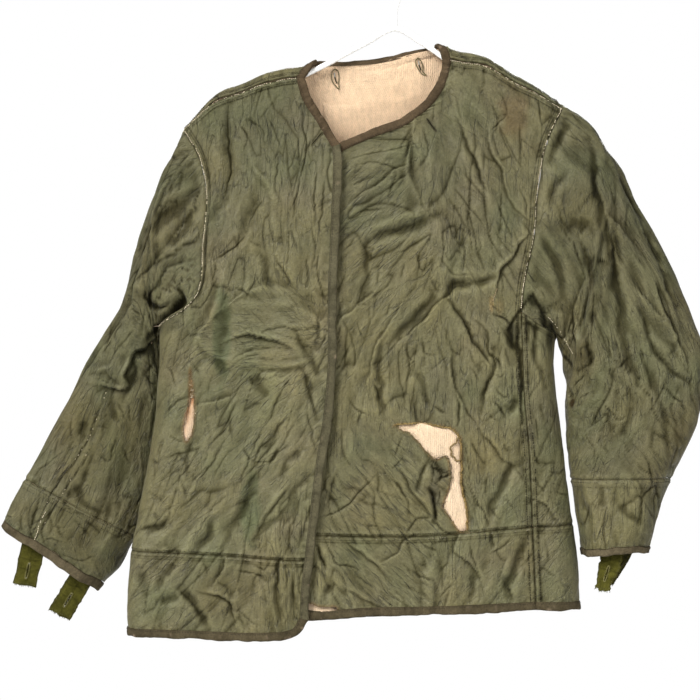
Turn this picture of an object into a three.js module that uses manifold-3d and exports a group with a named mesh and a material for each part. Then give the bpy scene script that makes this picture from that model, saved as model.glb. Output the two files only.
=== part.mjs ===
// A field jacket liner on a plain hanger: an olive cloth shell over a cream pile lining, with
// taped edges, a lower band, sleeve ends and buttonhole tabs at the cuffs. Millimetres; X runs
// to the viewer's right, Y from front to back, Z up, and the origin is where the hook hangs.
//
// The body is drawn on a chart (g, h): g runs round the garment, equal to x on the flat front,
// and h runs up it, equal to z below the shoulders. bodyPoint() turns a chart spot into space.
import * as THREE from "three";
import { mergeVertices } from "three/addons/utils/BufferGeometryUtils.js";
import Module from "manifold-3d";

const wasm = await Module();
wasm.setup();

// ---- Driving dimensions ----
const SEAM_GAP = 0.3;
const SHELL = 1.5; // thickness of the outer cloth
const LINING = 2.4; // thickness of the pile cloth
const SLEEVE_WALL = 2.8;
const BINDING = { width: 9, proud: 0.8, inside: 5 }; // tape folded over the raw edges
const SIDE_ROLL = 32; // how much of the front view a turning side takes up
const SHOULDER_ROLL = 20; // how much of the height a turning shoulder takes up
const SHOULDER_DEPTH = 15; // half the garment's thickness along the shoulders
const SHOULDER_FALL = 200; // the body comes to its full depth this far below the shoulders
const SHOULDER_TURN = (SHOULDER_ROLL + SHOULDER_DEPTH) / 2;
const SEAM_BEHIND = 25; // the seam of one side lies this far round behind it
const OVERLAP_LIFT = 8; // how far the upper front stands off the lower one
const TUBE = 3.5; // radius of the hanger's tube
const HOOK_INSIDE = 20; // radius inside the hook's bend

// ---- Tables ----
// Level sections of the body: where its sides are, half its thickness near them, and the extra
// fullness in the middle. Above the armholes the sides are those of the sleeve heads.
const SECTIONS = [
  { z: -900, left: -342, right: 247, depth: 27, bulge: 15 },
  { z: -790, left: -341, right: 244, depth: 28, bulge: 16 },
  { z: -690, left: -323, right: 231, depth: 28, bulge: 16 },
  { z: -600, left: -308, right: 220, depth: 28, bulge: 15 },
  { z: -548, left: -303, right: 214, depth: 28, bulge: 14 },
  { z: -520, left: -300, right: 212, depth: 28, bulge: 13 },
  { z: -475, left: -301, right: 216, depth: 28, bulge: 11 },
  { z: -440, left: -306, right: 224, depth: 28, bulge: 10 },
  { z: -380, left: -320, right: 242, depth: 28, bulge: 8 },
  { z: -300, left: -335, right: 264, depth: 28, bulge: 6 },
  { z: -150, left: -350, right: 300, depth: 28, bulge: 6 },
];

// The shoulder line as seen from the front. Between the neck corners it only guides the cloth.
const RIDGE = [
  { x: -290, z: -248 },
  { x: -270, z: -220 },
  { x: -252, z: -198 },
  { x: -229, z: -174 },
  { x: -196, z: -159 },
  { x: -166, z: -146 },
  { x: -138, z: -139 },
  { x: -117, z: -136 },
  { x: -108, z: -133 },
  { x: -99, z: -127 },
  { x: -75, z: -108 },
  { x: -10, z: -86 },
  { x: 45, z: -99 },
  { x: 60, z: -106 },
  { x: 75, z: -112 },
  { x: 92, z: -117 },
  { x: 124, z: -124 },
  { x: 137, z: -132 },
  { x: 159, z: -146 },
  { x: 185, z: -159 },
  { x: 220, z: -183 },
  { x: 246, z: -199 },
];

// How far the shoulder seams lie below the shoulder line, on its front.
const RIGHT_SHOULDER_SEAM = [
  { x: -270, drop: 1 },
  { x: -218, drop: 10 },
  { x: -170, drop: 13 },
  { x: -121, drop: 14 },
];
const LEFT_SHOULDER_SEAM = [
  { x: 76, drop: 15 },
  { x: 140, drop: 11 },
  { x: 185, drop: 10 },
  { x: 222, drop: 7 },
];

// Armholes, from the shoulder down to the lowest point under the arm, on each face.
const RIGHT_ARMHOLE = {
  front: [
    { x: -250, z: -252 },
    { x: -239, z: -302 },
    { x: -244, z: -370 },
    { x: -250, z: -430 },
    { x: -270, z: -454 },
  ],
  back: [
    { x: -250, z: -252 },
    { x: -240, z: -302 },
    { x: -242, z: -370 },
    { x: -248, z: -425 },
    { x: -264, z: -458 },
  ],
  low: -485,
};
const LEFT_ARMHOLE = {
  front: [
    { x: 203, z: -233 },
    { x: 190, z: -296 },
    { x: 184, z: -360 },
    { x: 172, z: -418 },
    { x: 168, z: -455 },
  ],
  under: { x: 200, z: -476 },
  back: [
    { x: 204, z: -233 },
    { x: 192, z: -296 },
    { x: 188, z: -360 },
    { x: 190, z: -420 },
    { x: 200, z: -455 },
  ],
  low: -484,
};

// Seam lines of the fronts. The binding lies outside those at the neck, front edge and hem.
const RIGHT_NECK = [
  { x: -75, z: -242 },
  { x: -95, z: -208 },
  { x: -112, z: -181 },
  { x: -119, z: -160 },
];
const RIGHT_EDGE = [
  { x: -110, z: -775 },
  { x: -95, z: -650 },
  { x: -86, z: -592 },
  { x: -80, z: -520 },
  { x: -80, z: -441 },
  { x: -75, z: -320 },
  { x: -73, z: -262 },
  { x: -75, z: -242 },
];
const RIGHT_LOWER_EDGE = [
  { x: -116, z: -849 },
  { x: -114, z: -810 },
  { x: -110, z: -775 },
];
const RIGHT_HEM = [
  { x: -261, z: -868 },
  { x: -200, z: -870 },
  { x: -143, z: -869 },
  { x: -126, z: -864 },
  { x: -116, z: -849 },
];
const RIGHT_BAND = [
  { x: -261, z: -767 },
  { x: -204, z: -770 },
  { x: -150, z: -774 },
  { x: -110, z: -775 },
];
const LEFT_NECK = [
  { x: -84, z: -264 },
  { x: -61, z: -245 },
  { x: -10, z: -223 },
  { x: 12, z: -215 },
  { x: 35, z: -200 },
  { x: 53, z: -184 },
  { x: 65, z: -167 },
  { x: 72, z: -148 },
];
const LEFT_EDGE = [
  { x: -118, z: -742 },
  { x: -108, z: -640 },
  { x: -98, z: -530 },
  { x: -94, z: -441 },
  { x: -90, z: -330 },
  { x: -84, z: -264 },
];
const LEFT_LOWER_EDGE = [
  { x: -126, z: -824 },
  { x: -123, z: -790 },
  { x: -118, z: -742 },
];
const LEFT_HEM = [
  { x: -126, z: -824 },
  { x: -119, z: -836 },
  { x: -104, z: -841 },
  { x: -40, z: -838 },
  { x: 62, z: -836 },
  { x: 186, z: -831 },
];
const LEFT_BAND = [
  { x: -118, z: -742 },
  { x: -25, z: -745 },
  { x: 60, z: -743 },
  { x: 120, z: -738 },
  { x: 182, z: -733 },
];
const LEFT_SIDE_SEAM = [
  { x: 186, z: -831 },
  { x: 182, z: -733 },
  { x: 178, z: -640 },
  { x: 171, z: -560 },
  { x: 168, z: -455 },
];
const BACK_NECK = [
  { x: 62, z: -117 },
  { x: 40, z: -121 },
  { x: -10, z: -133 },
  { x: -60, z: -137 },
  { x: -100, z: -137 },
];
const SIDE_HEM = { left: -865, middle: -847, right: -832 }; // heights of the hem's seam line
const SIDE_BAND = { left: -763, middle: -745, right: -730 };

// Rings round each sleeve: the outer and inner spots seen from the front, with how far back
// each lies, and half the sleeve's thickness. `along` is the distance down the sleeve.
const RIGHT_SLEEVE = [
  { along: 55, ox: -299, oy: 2, oz: -278, ix: -303, iy: 26, iz: -512, half: 33 },
  { along: 150, ox: -335, oy: 8, oz: -377, ix: -296, iy: 36, iz: -552, half: 31 },
  { along: 225, ox: -354, oy: 14, oz: -450, ix: -292, iy: 44, iz: -602, half: 29 },
  { along: 290, ox: -392, oy: 22, oz: -511, ix: -298, iy: 46, iz: -650, half: 27 },
  { along: 370, ox: -439, oy: 30, oz: -601, ix: -312, iy: 46, iz: -704, half: 26 },
  { along: 437, ox: -479, oy: 32, oz: -673, ix: -334, iy: 44, iz: -750, half: 25 },
  { along: 480, ox: -500, oy: 32, oz: -710, ix: -353, iy: 42, iz: -788, half: 24 },
  { along: 515, ox: -505, oy: 32, oz: -727, ix: -377, iy: 40, iz: -810, half: 22 },
  { along: 526, ox: -509, oy: 32, oz: -737, ix: -386, iy: 40, iz: -821, half: 22 },
];
const LEFT_SLEEVE = [
  { along: 55, ox: 281, oy: 0, oz: -244, ix: 220, iy: 6, iz: -508, half: 34 },
  { along: 140, ox: 325, oy: 0, oz: -322, ix: 227, iy: 2, iz: -541, half: 35 },
  { along: 182, ox: 365, oy: 0, oz: -394, ix: 228, iy: 0, iz: -558, half: 35 },
  { along: 225, ox: 389, oy: 0, oz: -455, ix: 228, iy: 0, iz: -577, half: 35 },
  { along: 290, ox: 411, oy: 0, oz: -530, ix: 228, iy: 0, iz: -606, half: 35 },
  { along: 345, ox: 400, oy: 0, oz: -592, ix: 228, iy: 0, iz: -636, half: 37 },
  { along: 405, ox: 363, oy: 0, oz: -671, ix: 234, iy: 0, iz: -672, half: 41 },
  { along: 460, ox: 344, oy: 0, oz: -728, ix: 242, iy: 0, iz: -731, half: 45 },
  { along: 492, ox: 334, oy: 0, oz: -757, ix: 248, iy: 0, iz: -762, half: 47 },
  { along: 503, ox: 331, oy: 0, oz: -766, ix: 250, iy: 0, iz: -772, half: 47 },
];
const SLEEVE_CROWN = { right: 0, left: 13 }; // how far the sleeve's head rises past the shoulder
const SLEEVE_END = { right: 437, left: 405 }; // where the end piece is joined on
const CUFF_SEAM = { right: 515, left: 492 };

// Tears in the shell, seen from the front.
const SLIT = [
  { x: -259, z: -545 },
  { x: -261, z: -567 },
  { x: -267, z: -590 },
  { x: -270, z: -612 },
  { x: -266, z: -624 },
  { x: -258, z: -608 },
  { x: -256, z: -580 },
];
const TEAR = [
  { x: -2, z: -602 },
  { x: 49, z: -601 },
  { x: 85, z: -612 },
  { x: 91, z: -645 },
  { x: 90, z: -675 },
  { x: 98, z: -712 },
  { x: 97, z: -731 },
  { x: 82, z: -727 },
  { x: 68, z: -708 },
  { x: 77, z: -672 },
  { x: 73, z: -643 },
  { x: 58, z: -645 },
  { x: 45, z: -636 },
  { x: 25, z: -611 },
];

// The right front's lining is cut away under the arm, where the sleeve folds in.
const UNDER_ARM = [
  { x: -340, z: -500 },
  { x: -256, z: -500 },
  { x: -256, z: -436 },
  { x: -340, z: -400 },
];

// Buttonhole tabs: where each leaves its cuff, its lean, its turn and its length below the cuff.
const TAB = { width: 31, thickness: 2, inside: 12, slot: 19, slotWidth: 2.4 };
const TABS = [
  { name: "right_cuff_tab_outer", x: -471, y: 31, z: -774, lean: 13, turn: 0, length: 40 },
  { name: "right_cuff_tab_inner", x: -411, y: 38, z: -812, lean: 31, turn: 0, length: 47 },
  { name: "left_cuff_tab_front", x: 284, y: -30, z: -771, lean: 9, turn: -25, length: 45 },
  { name: "left_cuff_tab_back", x: 307, y: 14, z: -771, lean: 24, turn: 60, length: 44 },
];

// The hanger's arms and hook, as centre lines in the plane y = 0.
const ARMS = [
  { x: -202, z: -183 },
  { x: -160, z: -163 },
  { x: -117, z: -149 },
  { x: -100, z: -141 },
  { x: -86, z: -134 },
  { x: -30, z: -104 },
  { x: 5, z: -87 },
  { x: 40, z: -105 },
  { x: 58, z: -117 },
  { x: 72, z: -127 },
  { x: 92, z: -137 },
  { x: 124, z: -147 },
  { x: 165, z: -168 },
  { x: 203, z: -194 },
];
const STEM = [
  { x: 5, z: -83 },
  { x: 5, z: -66 },
  { x: 9, z: -50 },
];

const COLOURS = {
  shell: { color: 0x6f6b50, roughness: 0.55 },
  lining: { color: 0xe6cba6, roughness: 0.95 },
  binding: { color: 0x5c5240, roughness: 0.8 },
  tab: { color: 0x575426, roughness: 0.9 },
  hanger: { color: 0xf2f1ee, roughness: 0.35 },
};

// ---- Curves and tables ----
const lerp = (a, b, t) => a + (b - a) * t;
const clamp = (value, low, high) => Math.min(high, Math.max(low, value));

// Even steps from one value to another.
const between = (from, to, count) =>
  Array.from({ length: count + 1 }, (_, i) => lerp(from, to, i / count));

function smoothstep(from, to, value) {
  const t = clamp((value - from) / (to - from), 0, 1);
  return t * t * (3 - 2 * t);
}

// A column's value between rows: a smooth curve through them.
function columnAt(rows, key, column, at) {
  const last = rows.length - 1;
  if (at <= rows[0][key]) return rows[0][column];
  if (at >= rows[last][key]) return rows[last][column];
  let i = 0;
  while (rows[i + 1][key] < at) i++;
  const slope = (j) => (rows[j + 1][column] - rows[j][column]) / (rows[j + 1][key] - rows[j][key]);
  const tangent = (j) => (slope(Math.max(j - 1, 0)) + slope(Math.min(j, last - 1))) / 2;
  const step = rows[i + 1][key] - rows[i][key];
  const t = (at - rows[i][key]) / step;
  const a = rows[i][column];
  const b = rows[i + 1][column];
  const hermite = (2 * t - 3) * t * t;
  return (
    a * (1 + hermite) -
    b * hermite +
    step * (tangent(i) * (t - 1) * (t - 1) * t + tangent(i + 1) * (t - 1) * t * t)
  );
}

// A smooth curve through chart spots [g, h]; the curve takes a share of its length, 0 to 1.
function through(spots) {
  let s = 0;
  const rows = spots.map(([g, h], i) => {
    if (i) s += Math.hypot(g - spots[i - 1][0], h - spots[i - 1][1]);
    return { s, g, h };
  });
  return (t) => ["g", "h"].map((column) => columnAt(rows, "s", column, t * s));
}

// Curves end to end, each taking its share of the whole.
function joined(curves, shares) {
  return (t) => {
    let start = 0;
    for (let i = 0; i < curves.length - 1; i++) {
      if (t <= start + shares[i]) return curves[i]((t - start) / shares[i]);
      start += shares[i];
    }
    return curves[curves.length - 1]((t - start) / (1 - start));
  };
}

const reversed = (curve) => (t) => curve(1 - t);

// ---- The body's surface ----
const ridge = (x) => columnAt(RIDGE, "x", "z", x);

function sectionAt(z) {
  const section = {};
  for (const column of ["left", "right", "depth", "bulge"]) {
    section[column] = columnAt(SECTIONS, "z", column, z);
  }
  section.turn = (SIDE_ROLL + section.depth) / 2;
  section.flat = section.right - section.left - 2 * SIDE_ROLL;
  section.girth = 2 * (section.flat + Math.PI * section.turn);
  return section;
}

// The chart's g for a spot seen at (x, z) on the front or the back.
function girthAt(x, z, face = "front") {
  const s = sectionAt(z);
  const pastRight = clamp((x - s.right + SIDE_ROLL) / SIDE_ROLL, 0, 1);
  const pastLeft = clamp((s.left + SIDE_ROLL - x) / SIDE_ROLL, 0, 1);
  const onFlat = clamp(x, s.left + SIDE_ROLL, s.right - SIDE_ROLL);
  const round = s.turn * (Math.asin(pastRight) - Math.asin(pastLeft));
  if (face === "front") return onFlat + round;
  return 2 * (s.right - SIDE_ROLL) + Math.PI * s.turn - onFlat - round;
}

const leftEdgeGirth = (z) => sectionAt(z).left + SIDE_ROLL - (sectionAt(z).turn * Math.PI) / 2;

// The chart's h for a spot on the shoulder, `drop` below its line, on this face or over it.
function shoulderHeight(x, drop, over) {
  const angle = Math.asin(1 - drop / SHOULDER_ROLL);
  return ridge(x) - SHOULDER_ROLL + SHOULDER_TURN * (over ? Math.PI - angle : angle);
}

// A chart spot in space.
function bodyPoint(g, h) {
  const s = sectionAt(h);
  const rightStart = s.right - SIDE_ROLL;
  const leftStart = s.left + SIDE_ROLL;
  let x = g;
  let facing = 1; // 1 on the front, -1 on the back, between them round the sides
  if (g > rightStart) {
    const round = g - rightStart;
    const back = round - Math.PI * s.turn;
    if (back > s.flat) {
      const angle = Math.PI - (back - s.flat) / s.turn;
      x = leftStart - SIDE_ROLL * Math.sin(angle);
      facing = Math.cos(angle);
    } else if (back > 0) {
      x = rightStart - back;
      facing = -1;
    } else {
      x = rightStart + SIDE_ROLL * Math.sin(round / s.turn);
      facing = Math.cos(round / s.turn);
    }
  } else if (g < leftStart) {
    const angle = (leftStart - g) / s.turn;
    x = leftStart - SIDE_ROLL * Math.sin(angle);
    facing = Math.cos(angle);
  }
  const rollStart = ridge(x) - SHOULDER_ROLL;
  const angle = Math.max(0, h - rollStart) / SHOULDER_TURN;
  let z = h;
  if (angle > Math.PI) {
    z = rollStart - (h - rollStart - Math.PI * SHOULDER_TURN);
    facing = -facing;
  } else if (angle > 0) {
    z = rollStart + SHOULDER_ROLL * Math.sin(angle);
    facing *= Math.cos(angle);
  }
  const fullness = smoothstep(0, SHOULDER_FALL, rollStart - z);
  const across = (2 * x - s.left - s.right) / (s.right - s.left);
  const depth = s.depth + s.bulge * (1 - across * across);
  const y = -facing * lerp(SHOULDER_DEPTH, depth, fullness);
  return new THREE.Vector3(x, y, z);
}

// The right front stands forward where it lies over the left one.
function rightFrontPoint(g, h) {
  const point = bodyPoint(g, h);
  const edge = columnAt(RIGHT_EDGE, "z", "x", h);
  const near = smoothstep(edge - 85, edge - 30, point.x);
  point.y -= OVERLAP_LIFT * near * smoothstep(-190, -250, h);
  return point;
}

function normalAt(pointAt, g, h) {
  const step = 0.5;
  const acrossG = pointAt(g + step, h).sub(pointAt(g - step, h));
  const acrossH = pointAt(g, h + step).sub(pointAt(g, h - step));
  return acrossG.cross(acrossH).normalize();
}

// ---- Walls and strips ----
const solidMesh = (name, geometry, look) => {
  const mesh = new THREE.Mesh(geometry, new THREE.MeshStandardMaterial(COLOURS[look]));
  mesh.name = name;
  return mesh;
};

// A closed wall over a grid of spots {point, normal}, from `outer` to `inner` below its surface,
// or to a spot's own `inner`. A row may lack spots, and a ring closes on itself along each row.
function wallGeometry(grid, outer, inner, ring = false) {
  const columns = Math.max(...grid.map((row) => row.length));
  const positions = [];
  const numbers = grid.map((row) =>
    row.map((spot) => {
      if (!spot) return null;
      for (const depth of [outer, spot.inner ?? inner]) {
        positions.push(...spot.point.clone().addScaledVector(spot.normal, -depth).toArray());
      }
      return positions.length / 3 - 2;
    }),
  );
  const index = [];
  const edges = new Map();
  for (let i = 0; i < grid.length - 1; i++) {
    for (let j = 0; j < (ring ? columns : columns - 1); j++) {
      const next = (j + 1) % columns;
      const quad = [numbers[i][j], numbers[i][next], numbers[i + 1][next], numbers[i + 1][j]];
      if (quad.some((corner) => corner === null)) continue;
      const [a, b, c, d] = quad;
      index.push(a, b, c, a, c, d, a + 1, c + 1, b + 1, a + 1, d + 1, c + 1);
      quad.forEach((corner, k) => {
        const on = quad[(k + 1) % 4];
        edges.set(`${corner} ${on}`, [corner, on]);
      });
    }
  }
  for (const [from, to] of edges.values()) {
    if (!edges.has(`${to} ${from}`)) index.push(from, from + 1, to + 1, from, to + 1, to);
  }
  const geometry = new THREE.BufferGeometry();
  geometry.setAttribute("position", new THREE.Float32BufferAttribute(positions, 3));
  geometry.setIndex(index);
  return facingOut(geometry);
}

// A cut panel, filled in smoothly between its four seams. Each takes 0 to 1, left to right or
// bottom to top as seen from outside, and half the seam gap comes off every seamed side.
function panelGrid({ bottom, top, left, right, seamed = [1, 1] }, columns, heights, pointAt) {
  const acrossGap = SEAM_GAP / 2 / Math.abs(bottom(1)[0] - bottom(0)[0]);
  const upGap = SEAM_GAP / 2 / Math.abs(left(1)[1] - left(0)[1]);
  const corners = [bottom(0), bottom(1), top(0), top(1)];
  const grid = [];
  for (const height of heights) {
    const v = lerp(upGap, 1 - upGap, height);
    const row = [];
    for (let j = 0; j <= columns; j++) {
      const u = lerp(acrossGap * seamed[0], 1 - acrossGap * seamed[1], j / columns);
      const [g, h] = [0, 1].map(
        (k) =>
          lerp(bottom(u)[k], top(u)[k], v) +
          lerp(left(v)[k], right(v)[k], u) -
          lerp(lerp(corners[0][k], corners[1][k], u), lerp(corners[2][k], corners[3][k], u), v),
      );
      row.push({ point: pointAt(g, h), normal: normalAt(pointAt, g, h) });
    }
    grid.push(row);
  }
  return grid;
}

// A run of spots along a cloth's edge, each with the way out of the cloth across the edge. The
// run has the cloth on its left, seen from outside.
function edgeRun(spots) {
  return spots.map((spot, i) => {
    const before = spots[Math.max(0, i - 1)].point;
    const after = spots[Math.min(spots.length - 1, i + 1)].point;
    const across = after.clone().sub(before).cross(spot.normal).normalize();
    return { ...spot, across };
  });
}

// Edges joined into one run: where two meet, their end spots become one between them.
function joinedSpots(...lists) {
  return lists.reduce((first, second) => {
    const a = first[first.length - 1];
    const b = second[0];
    const point = a.point.clone().lerp(b.point, 0.5);
    const normal = a.normal.clone().add(b.normal).normalize();
    return [...first.slice(0, -1), { point, normal }, ...second.slice(1)];
  });
}

// Two runs that meet at a corner are cut along the line that halves it, half a gap from it.
function mitre(first, second) {
  const end = first[first.length - 1];
  const start = second[0];
  const across = end.across.clone().add(start.across).normalize();
  const back = first[first.length - 2].point.clone().sub(end.point).setLength(SEAM_GAP / 2);
  const on = second[1].point.clone().sub(start.point).setLength(SEAM_GAP / 2);
  first[first.length - 1] = { ...end, across, point: end.point.clone().add(back) };
  second[0] = { ...start, across, point: start.point.clone().add(on) };
}

// The folded tape beyond a seam line, as a two-column wall.
function bindingGeometry(stations) {
  const rowAt = (distance) =>
    stations.map(({ point, normal, across }) => ({
      point: point.clone().addScaledVector(across, distance),
      normal,
    }));
  const rows = [rowAt(2.5 * SEAM_GAP), rowAt(SEAM_GAP + BINDING.width)];
  return wallGeometry(rows, -BINDING.proud, BINDING.inside);
}

// Turns a closed geometry's faces outwards, whichever way its rows ran.
function facingOut(geometry) {
  const p = geometry.getAttribute("position");
  const index = Array.from(geometry.index.array);
  const corner = (i) => new THREE.Vector3().fromBufferAttribute(p, index[i]);
  let volume = 0;
  for (let i = 0; i < index.length; i += 3) {
    volume += corner(i).dot(corner(i + 1).cross(corner(i + 2)));
  }
  if (volume < 0) {
    for (let i = 0; i < index.length; i += 3) {
      [index[i + 1], index[i + 2]] = [index[i + 2], index[i + 1]];
    }
    geometry.setIndex(index);
  }
  return geometry;
}

// ---- Cutting ----
function toSolid(geometry) {
  const bare = geometry.index ? geometry.toNonIndexed() : geometry.clone();
  const only = new THREE.BufferGeometry().setAttribute("position", bare.getAttribute("position"));
  const joinedUp = mergeVertices(only, 1e-3);
  return new wasm.Manifold(
    new wasm.Mesh({
      numProp: 3,
      vertProperties: joinedUp.getAttribute("position").array,
      triVerts: new Uint32Array(joinedUp.index.array),
    }),
  );
}

function fromSolid(solid) {
  const { vertProperties, triVerts } = solid.getMesh();
  const geometry = new THREE.BufferGeometry();
  geometry.setAttribute("position", new THREE.BufferAttribute(vertProperties, 3));
  geometry.setIndex(new THREE.BufferAttribute(triVerts, 1));
  return geometry;
}

// Cuts an outline seen from the front out of a front panel.
function cutOut(geometry, outline) {
  const shape = new THREE.Shape(outline.map(({ x, z }) => new THREE.Vector2(x, z)));
  const reach = 110;
  const cutter = new THREE.ExtrudeGeometry(shape, { depth: reach, bevelEnabled: false });
  cutter.rotateX(Math.PI / 2).translate(0, reach / 2, 0);
  return fromSolid(toSolid(geometry).subtract(toSolid(cutter)));
}

// ---- Grids ----
// The rows of a panel, as shares of its height, and how many of them lie below the armhole or
// below the neck. The back's are closer where it goes over the shoulders.
const ROWS = { upper: 14, band: 3, belowArm: 6, belowNeck: 9 };
const COLUMNS = { front: 7, neckCorner: 3, neck: 4, strip: 2 };
COLUMNS.neckline = COLUMNS.neck + 2 * COLUMNS.neckCorner;
COLUMNS.back = COLUMNS.neckline + 2 * COLUMNS.front;
COLUMNS.all = COLUMNS.back + COLUMNS.strip;
const FRONT_ROWS = between(0, 1, ROWS.upper);
const BAND_ROWS = between(0, 1, ROWS.band);
const BACK_ROWS = [...between(0, 0.93, ROWS.upper - 4), ...between(0.93, 1, 4).slice(1)];
const sharesTo = (share) => [share, 1 - share];
const SIDES = sharesTo(FRONT_ROWS[ROWS.belowArm]);
const EDGES = sharesTo(FRONT_ROWS[ROWS.belowNeck]);
const BACK_SIDES = sharesTo(BACK_ROWS[ROWS.belowArm]);

// ---- Seam lines on the chart ----
const frontSpots = (rows) => rows.map(({ x, z }) => [girthAt(x, z), z]);
const backSpots = (rows) => rows.map(({ x, z }) => [girthAt(x, z, "back"), z]);
const shoulderSpots = (rows, face) =>
  between(rows[0].x, rows[rows.length - 1].x, 8).map((x) => {
    const apart = (face === "front" ? 1.5 : -1.5) * SEAM_GAP;
    const h = shoulderHeight(x, columnAt(rows, "x", "drop", x) + apart, face === "back");
    return [girthAt(x, h, face), h];
  });

// The right side seam lies behind the body's edge. The back's chart reaches it a girth later.
const rightSideSpot = (z) => [leftEdgeGirth(z) - SEAM_BEHIND, z];
const sameOnBack = ([g, h]) => [g + sectionAt(h).girth, h];
const rightSide = (low, high) => (t) => rightSideSpot(lerp(low, high, t));
const onBack = (curve) => (t) => sameOnBack(curve(t));

// The spots at the ends of a shoulder seam: at the armhole and at the neck, on each face.
function shoulderEnds(rows, tip, neck) {
  const spots = { front: shoulderSpots(rows, "front"), back: shoulderSpots(rows, "back") };
  return {
    ...spots,
    tip: { front: spots.front.at(tip), back: spots.back.at(tip) },
    neck: { front: spots.front.at(neck), back: spots.back.at(neck) },
  };
}
const rightTop = shoulderEnds(RIGHT_SHOULDER_SEAM, 0, -1);
const leftTop = shoulderEnds(LEFT_SHOULDER_SEAM, -1, 0);
const onRightEdge = (z) => [girthAt(sectionAt(z).right, z), z];
const leftLow = onRightEdge(LEFT_ARMHOLE.low);
const leftCorner = LEFT_SIDE_SEAM[LEFT_SIDE_SEAM.length - 1];

const curves = {
  rightArmholeFront: through([
    rightSideSpot(RIGHT_ARMHOLE.low),
    ...frontSpots(RIGHT_ARMHOLE.front).reverse(),
    rightTop.tip.front,
  ]),
  rightArmholeBack: through([
    sameOnBack(rightSideSpot(RIGHT_ARMHOLE.low)),
    ...backSpots(RIGHT_ARMHOLE.back).reverse(),
    rightTop.tip.back,
  ]),
  leftArmholeFront: through([...frontSpots(LEFT_ARMHOLE.front).reverse(), leftTop.tip.front]),
  leftArmholeUnder: through([...frontSpots([leftCorner, LEFT_ARMHOLE.under]), leftLow]),
  leftArmholeBack: through([
    leftLow,
    ...backSpots(LEFT_ARMHOLE.back).reverse(),
    leftTop.tip.back,
  ]),
  rightShoulder: through(rightTop.front),
  rightShoulderOnBack: through(rightTop.back),
  leftShoulder: through(leftTop.front),
  leftShoulderOnBack: through([...leftTop.back].reverse()),
  rightNeck: through([...frontSpots(RIGHT_NECK), rightTop.neck.front]),
  leftNeck: through([...frontSpots(LEFT_NECK), leftTop.neck.front]),
  leftNeckCorner: through([leftTop.neck.back, ...backSpots(BACK_NECK.slice(0, 1))]),
  backNeck: through(backSpots(BACK_NECK)),
  rightNeckCorner: through([...backSpots(BACK_NECK.slice(-1)), rightTop.neck.back]),
  rightEdge: through(frontSpots(RIGHT_EDGE)),
  rightLowerEdge: through(frontSpots(RIGHT_LOWER_EDGE)),
  leftEdge: through(frontSpots(LEFT_EDGE)),
  leftLowerEdge: through(frontSpots(LEFT_LOWER_EDGE)),
  rightHem: joined(
    [
      through([rightSideSpot(SIDE_HEM.left), ...frontSpots(RIGHT_HEM.slice(0, 3))]),
      through(frontSpots(RIGHT_HEM.slice(2))),
    ],
    [5 / 7, 2 / 7],
  ),
  leftHem: through(frontSpots(LEFT_HEM)),
  rightBand: through([rightSideSpot(SIDE_BAND.left), ...frontSpots(RIGHT_BAND)]),
  leftBand: through(frontSpots(LEFT_BAND)),
  leftSideLower: through(frontSpots(LEFT_SIDE_SEAM.slice(0, 2))),
  leftSide: through(frontSpots(LEFT_SIDE_SEAM.slice(1))),
};

const backLine = (heights, start) =>
  through([
    start,
    [girthAt(-40, heights.middle, "back"), heights.middle],
    sameOnBack(rightSideSpot(heights.left)),
  ]);
const STRIP = [COLUMNS.strip / COLUMNS.all, COLUMNS.back / COLUMNS.all];
const hemAtSide = onRightEdge(SIDE_HEM.right);
curves.hemAtSide = through([curves.leftHem(1), hemAtSide]);
curves.backHem = joined([curves.hemAtSide, backLine(SIDE_HEM, hemAtSide)], STRIP);
const sideLine = [onRightEdge(SIDE_BAND.right), onRightEdge(-600), leftLow];
curves.bandAtSide = through([curves.leftBand(1), sideLine[0]]);
curves.backBand = backLine(SIDE_BAND, sideLine[0]);
curves.wholeBackBand = joined([curves.bandAtSide, curves.backBand], STRIP);

// ---- The cut pieces: four seams each ----
const pieces = {
  rightFront: {
    bottom: curves.rightBand,
    top: curves.rightShoulder,
    left: joined([rightSide(SIDE_BAND.left, RIGHT_ARMHOLE.low), curves.rightArmholeFront], SIDES),
    right: joined([curves.rightEdge, curves.rightNeck], EDGES),
  },
  leftFront: {
    bottom: curves.leftBand,
    top: curves.leftShoulder,
    left: joined([curves.leftEdge, curves.leftNeck], EDGES),
    right: joined([curves.leftSide, curves.leftArmholeFront], SIDES),
  },
  // The back comes round the left side to the front, so a strip of it runs up under the arm.
  backUnderArm: {
    bottom: curves.bandAtSide,
    top: curves.leftArmholeUnder,
    left: curves.leftSide,
    right: through(sideLine),
  },
  back: {
    bottom: curves.backBand,
    top: joined(
      [
        curves.leftShoulderOnBack,
        curves.leftNeckCorner,
        curves.backNeck,
        curves.rightNeckCorner,
        reversed(curves.rightShoulderOnBack),
      ],
      ["front", "neckCorner", "neck", "neckCorner", "front"].map((key) => COLUMNS[key] / COLUMNS.back),
    ),
    left: joined([through(sideLine), curves.leftArmholeBack], BACK_SIDES),
    right: joined(
      [onBack(rightSide(SIDE_BAND.left, RIGHT_ARMHOLE.low)), curves.rightArmholeBack],
      BACK_SIDES,
    ),
  },
  rightFrontBand: {
    bottom: curves.rightHem,
    top: curves.rightBand,
    left: rightSide(SIDE_HEM.left, SIDE_BAND.left),
    right: curves.rightLowerEdge,
  },
  leftFrontBand: {
    bottom: curves.leftHem,
    top: curves.leftBand,
    left: curves.leftLowerEdge,
    right: curves.leftSideLower,
  },
  backBand: {
    bottom: curves.backHem,
    top: curves.wholeBackBand,
    left: curves.leftSideLower,
    right: onBack(rightSide(SIDE_HEM.left, SIDE_BAND.left)),
  },
};

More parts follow.
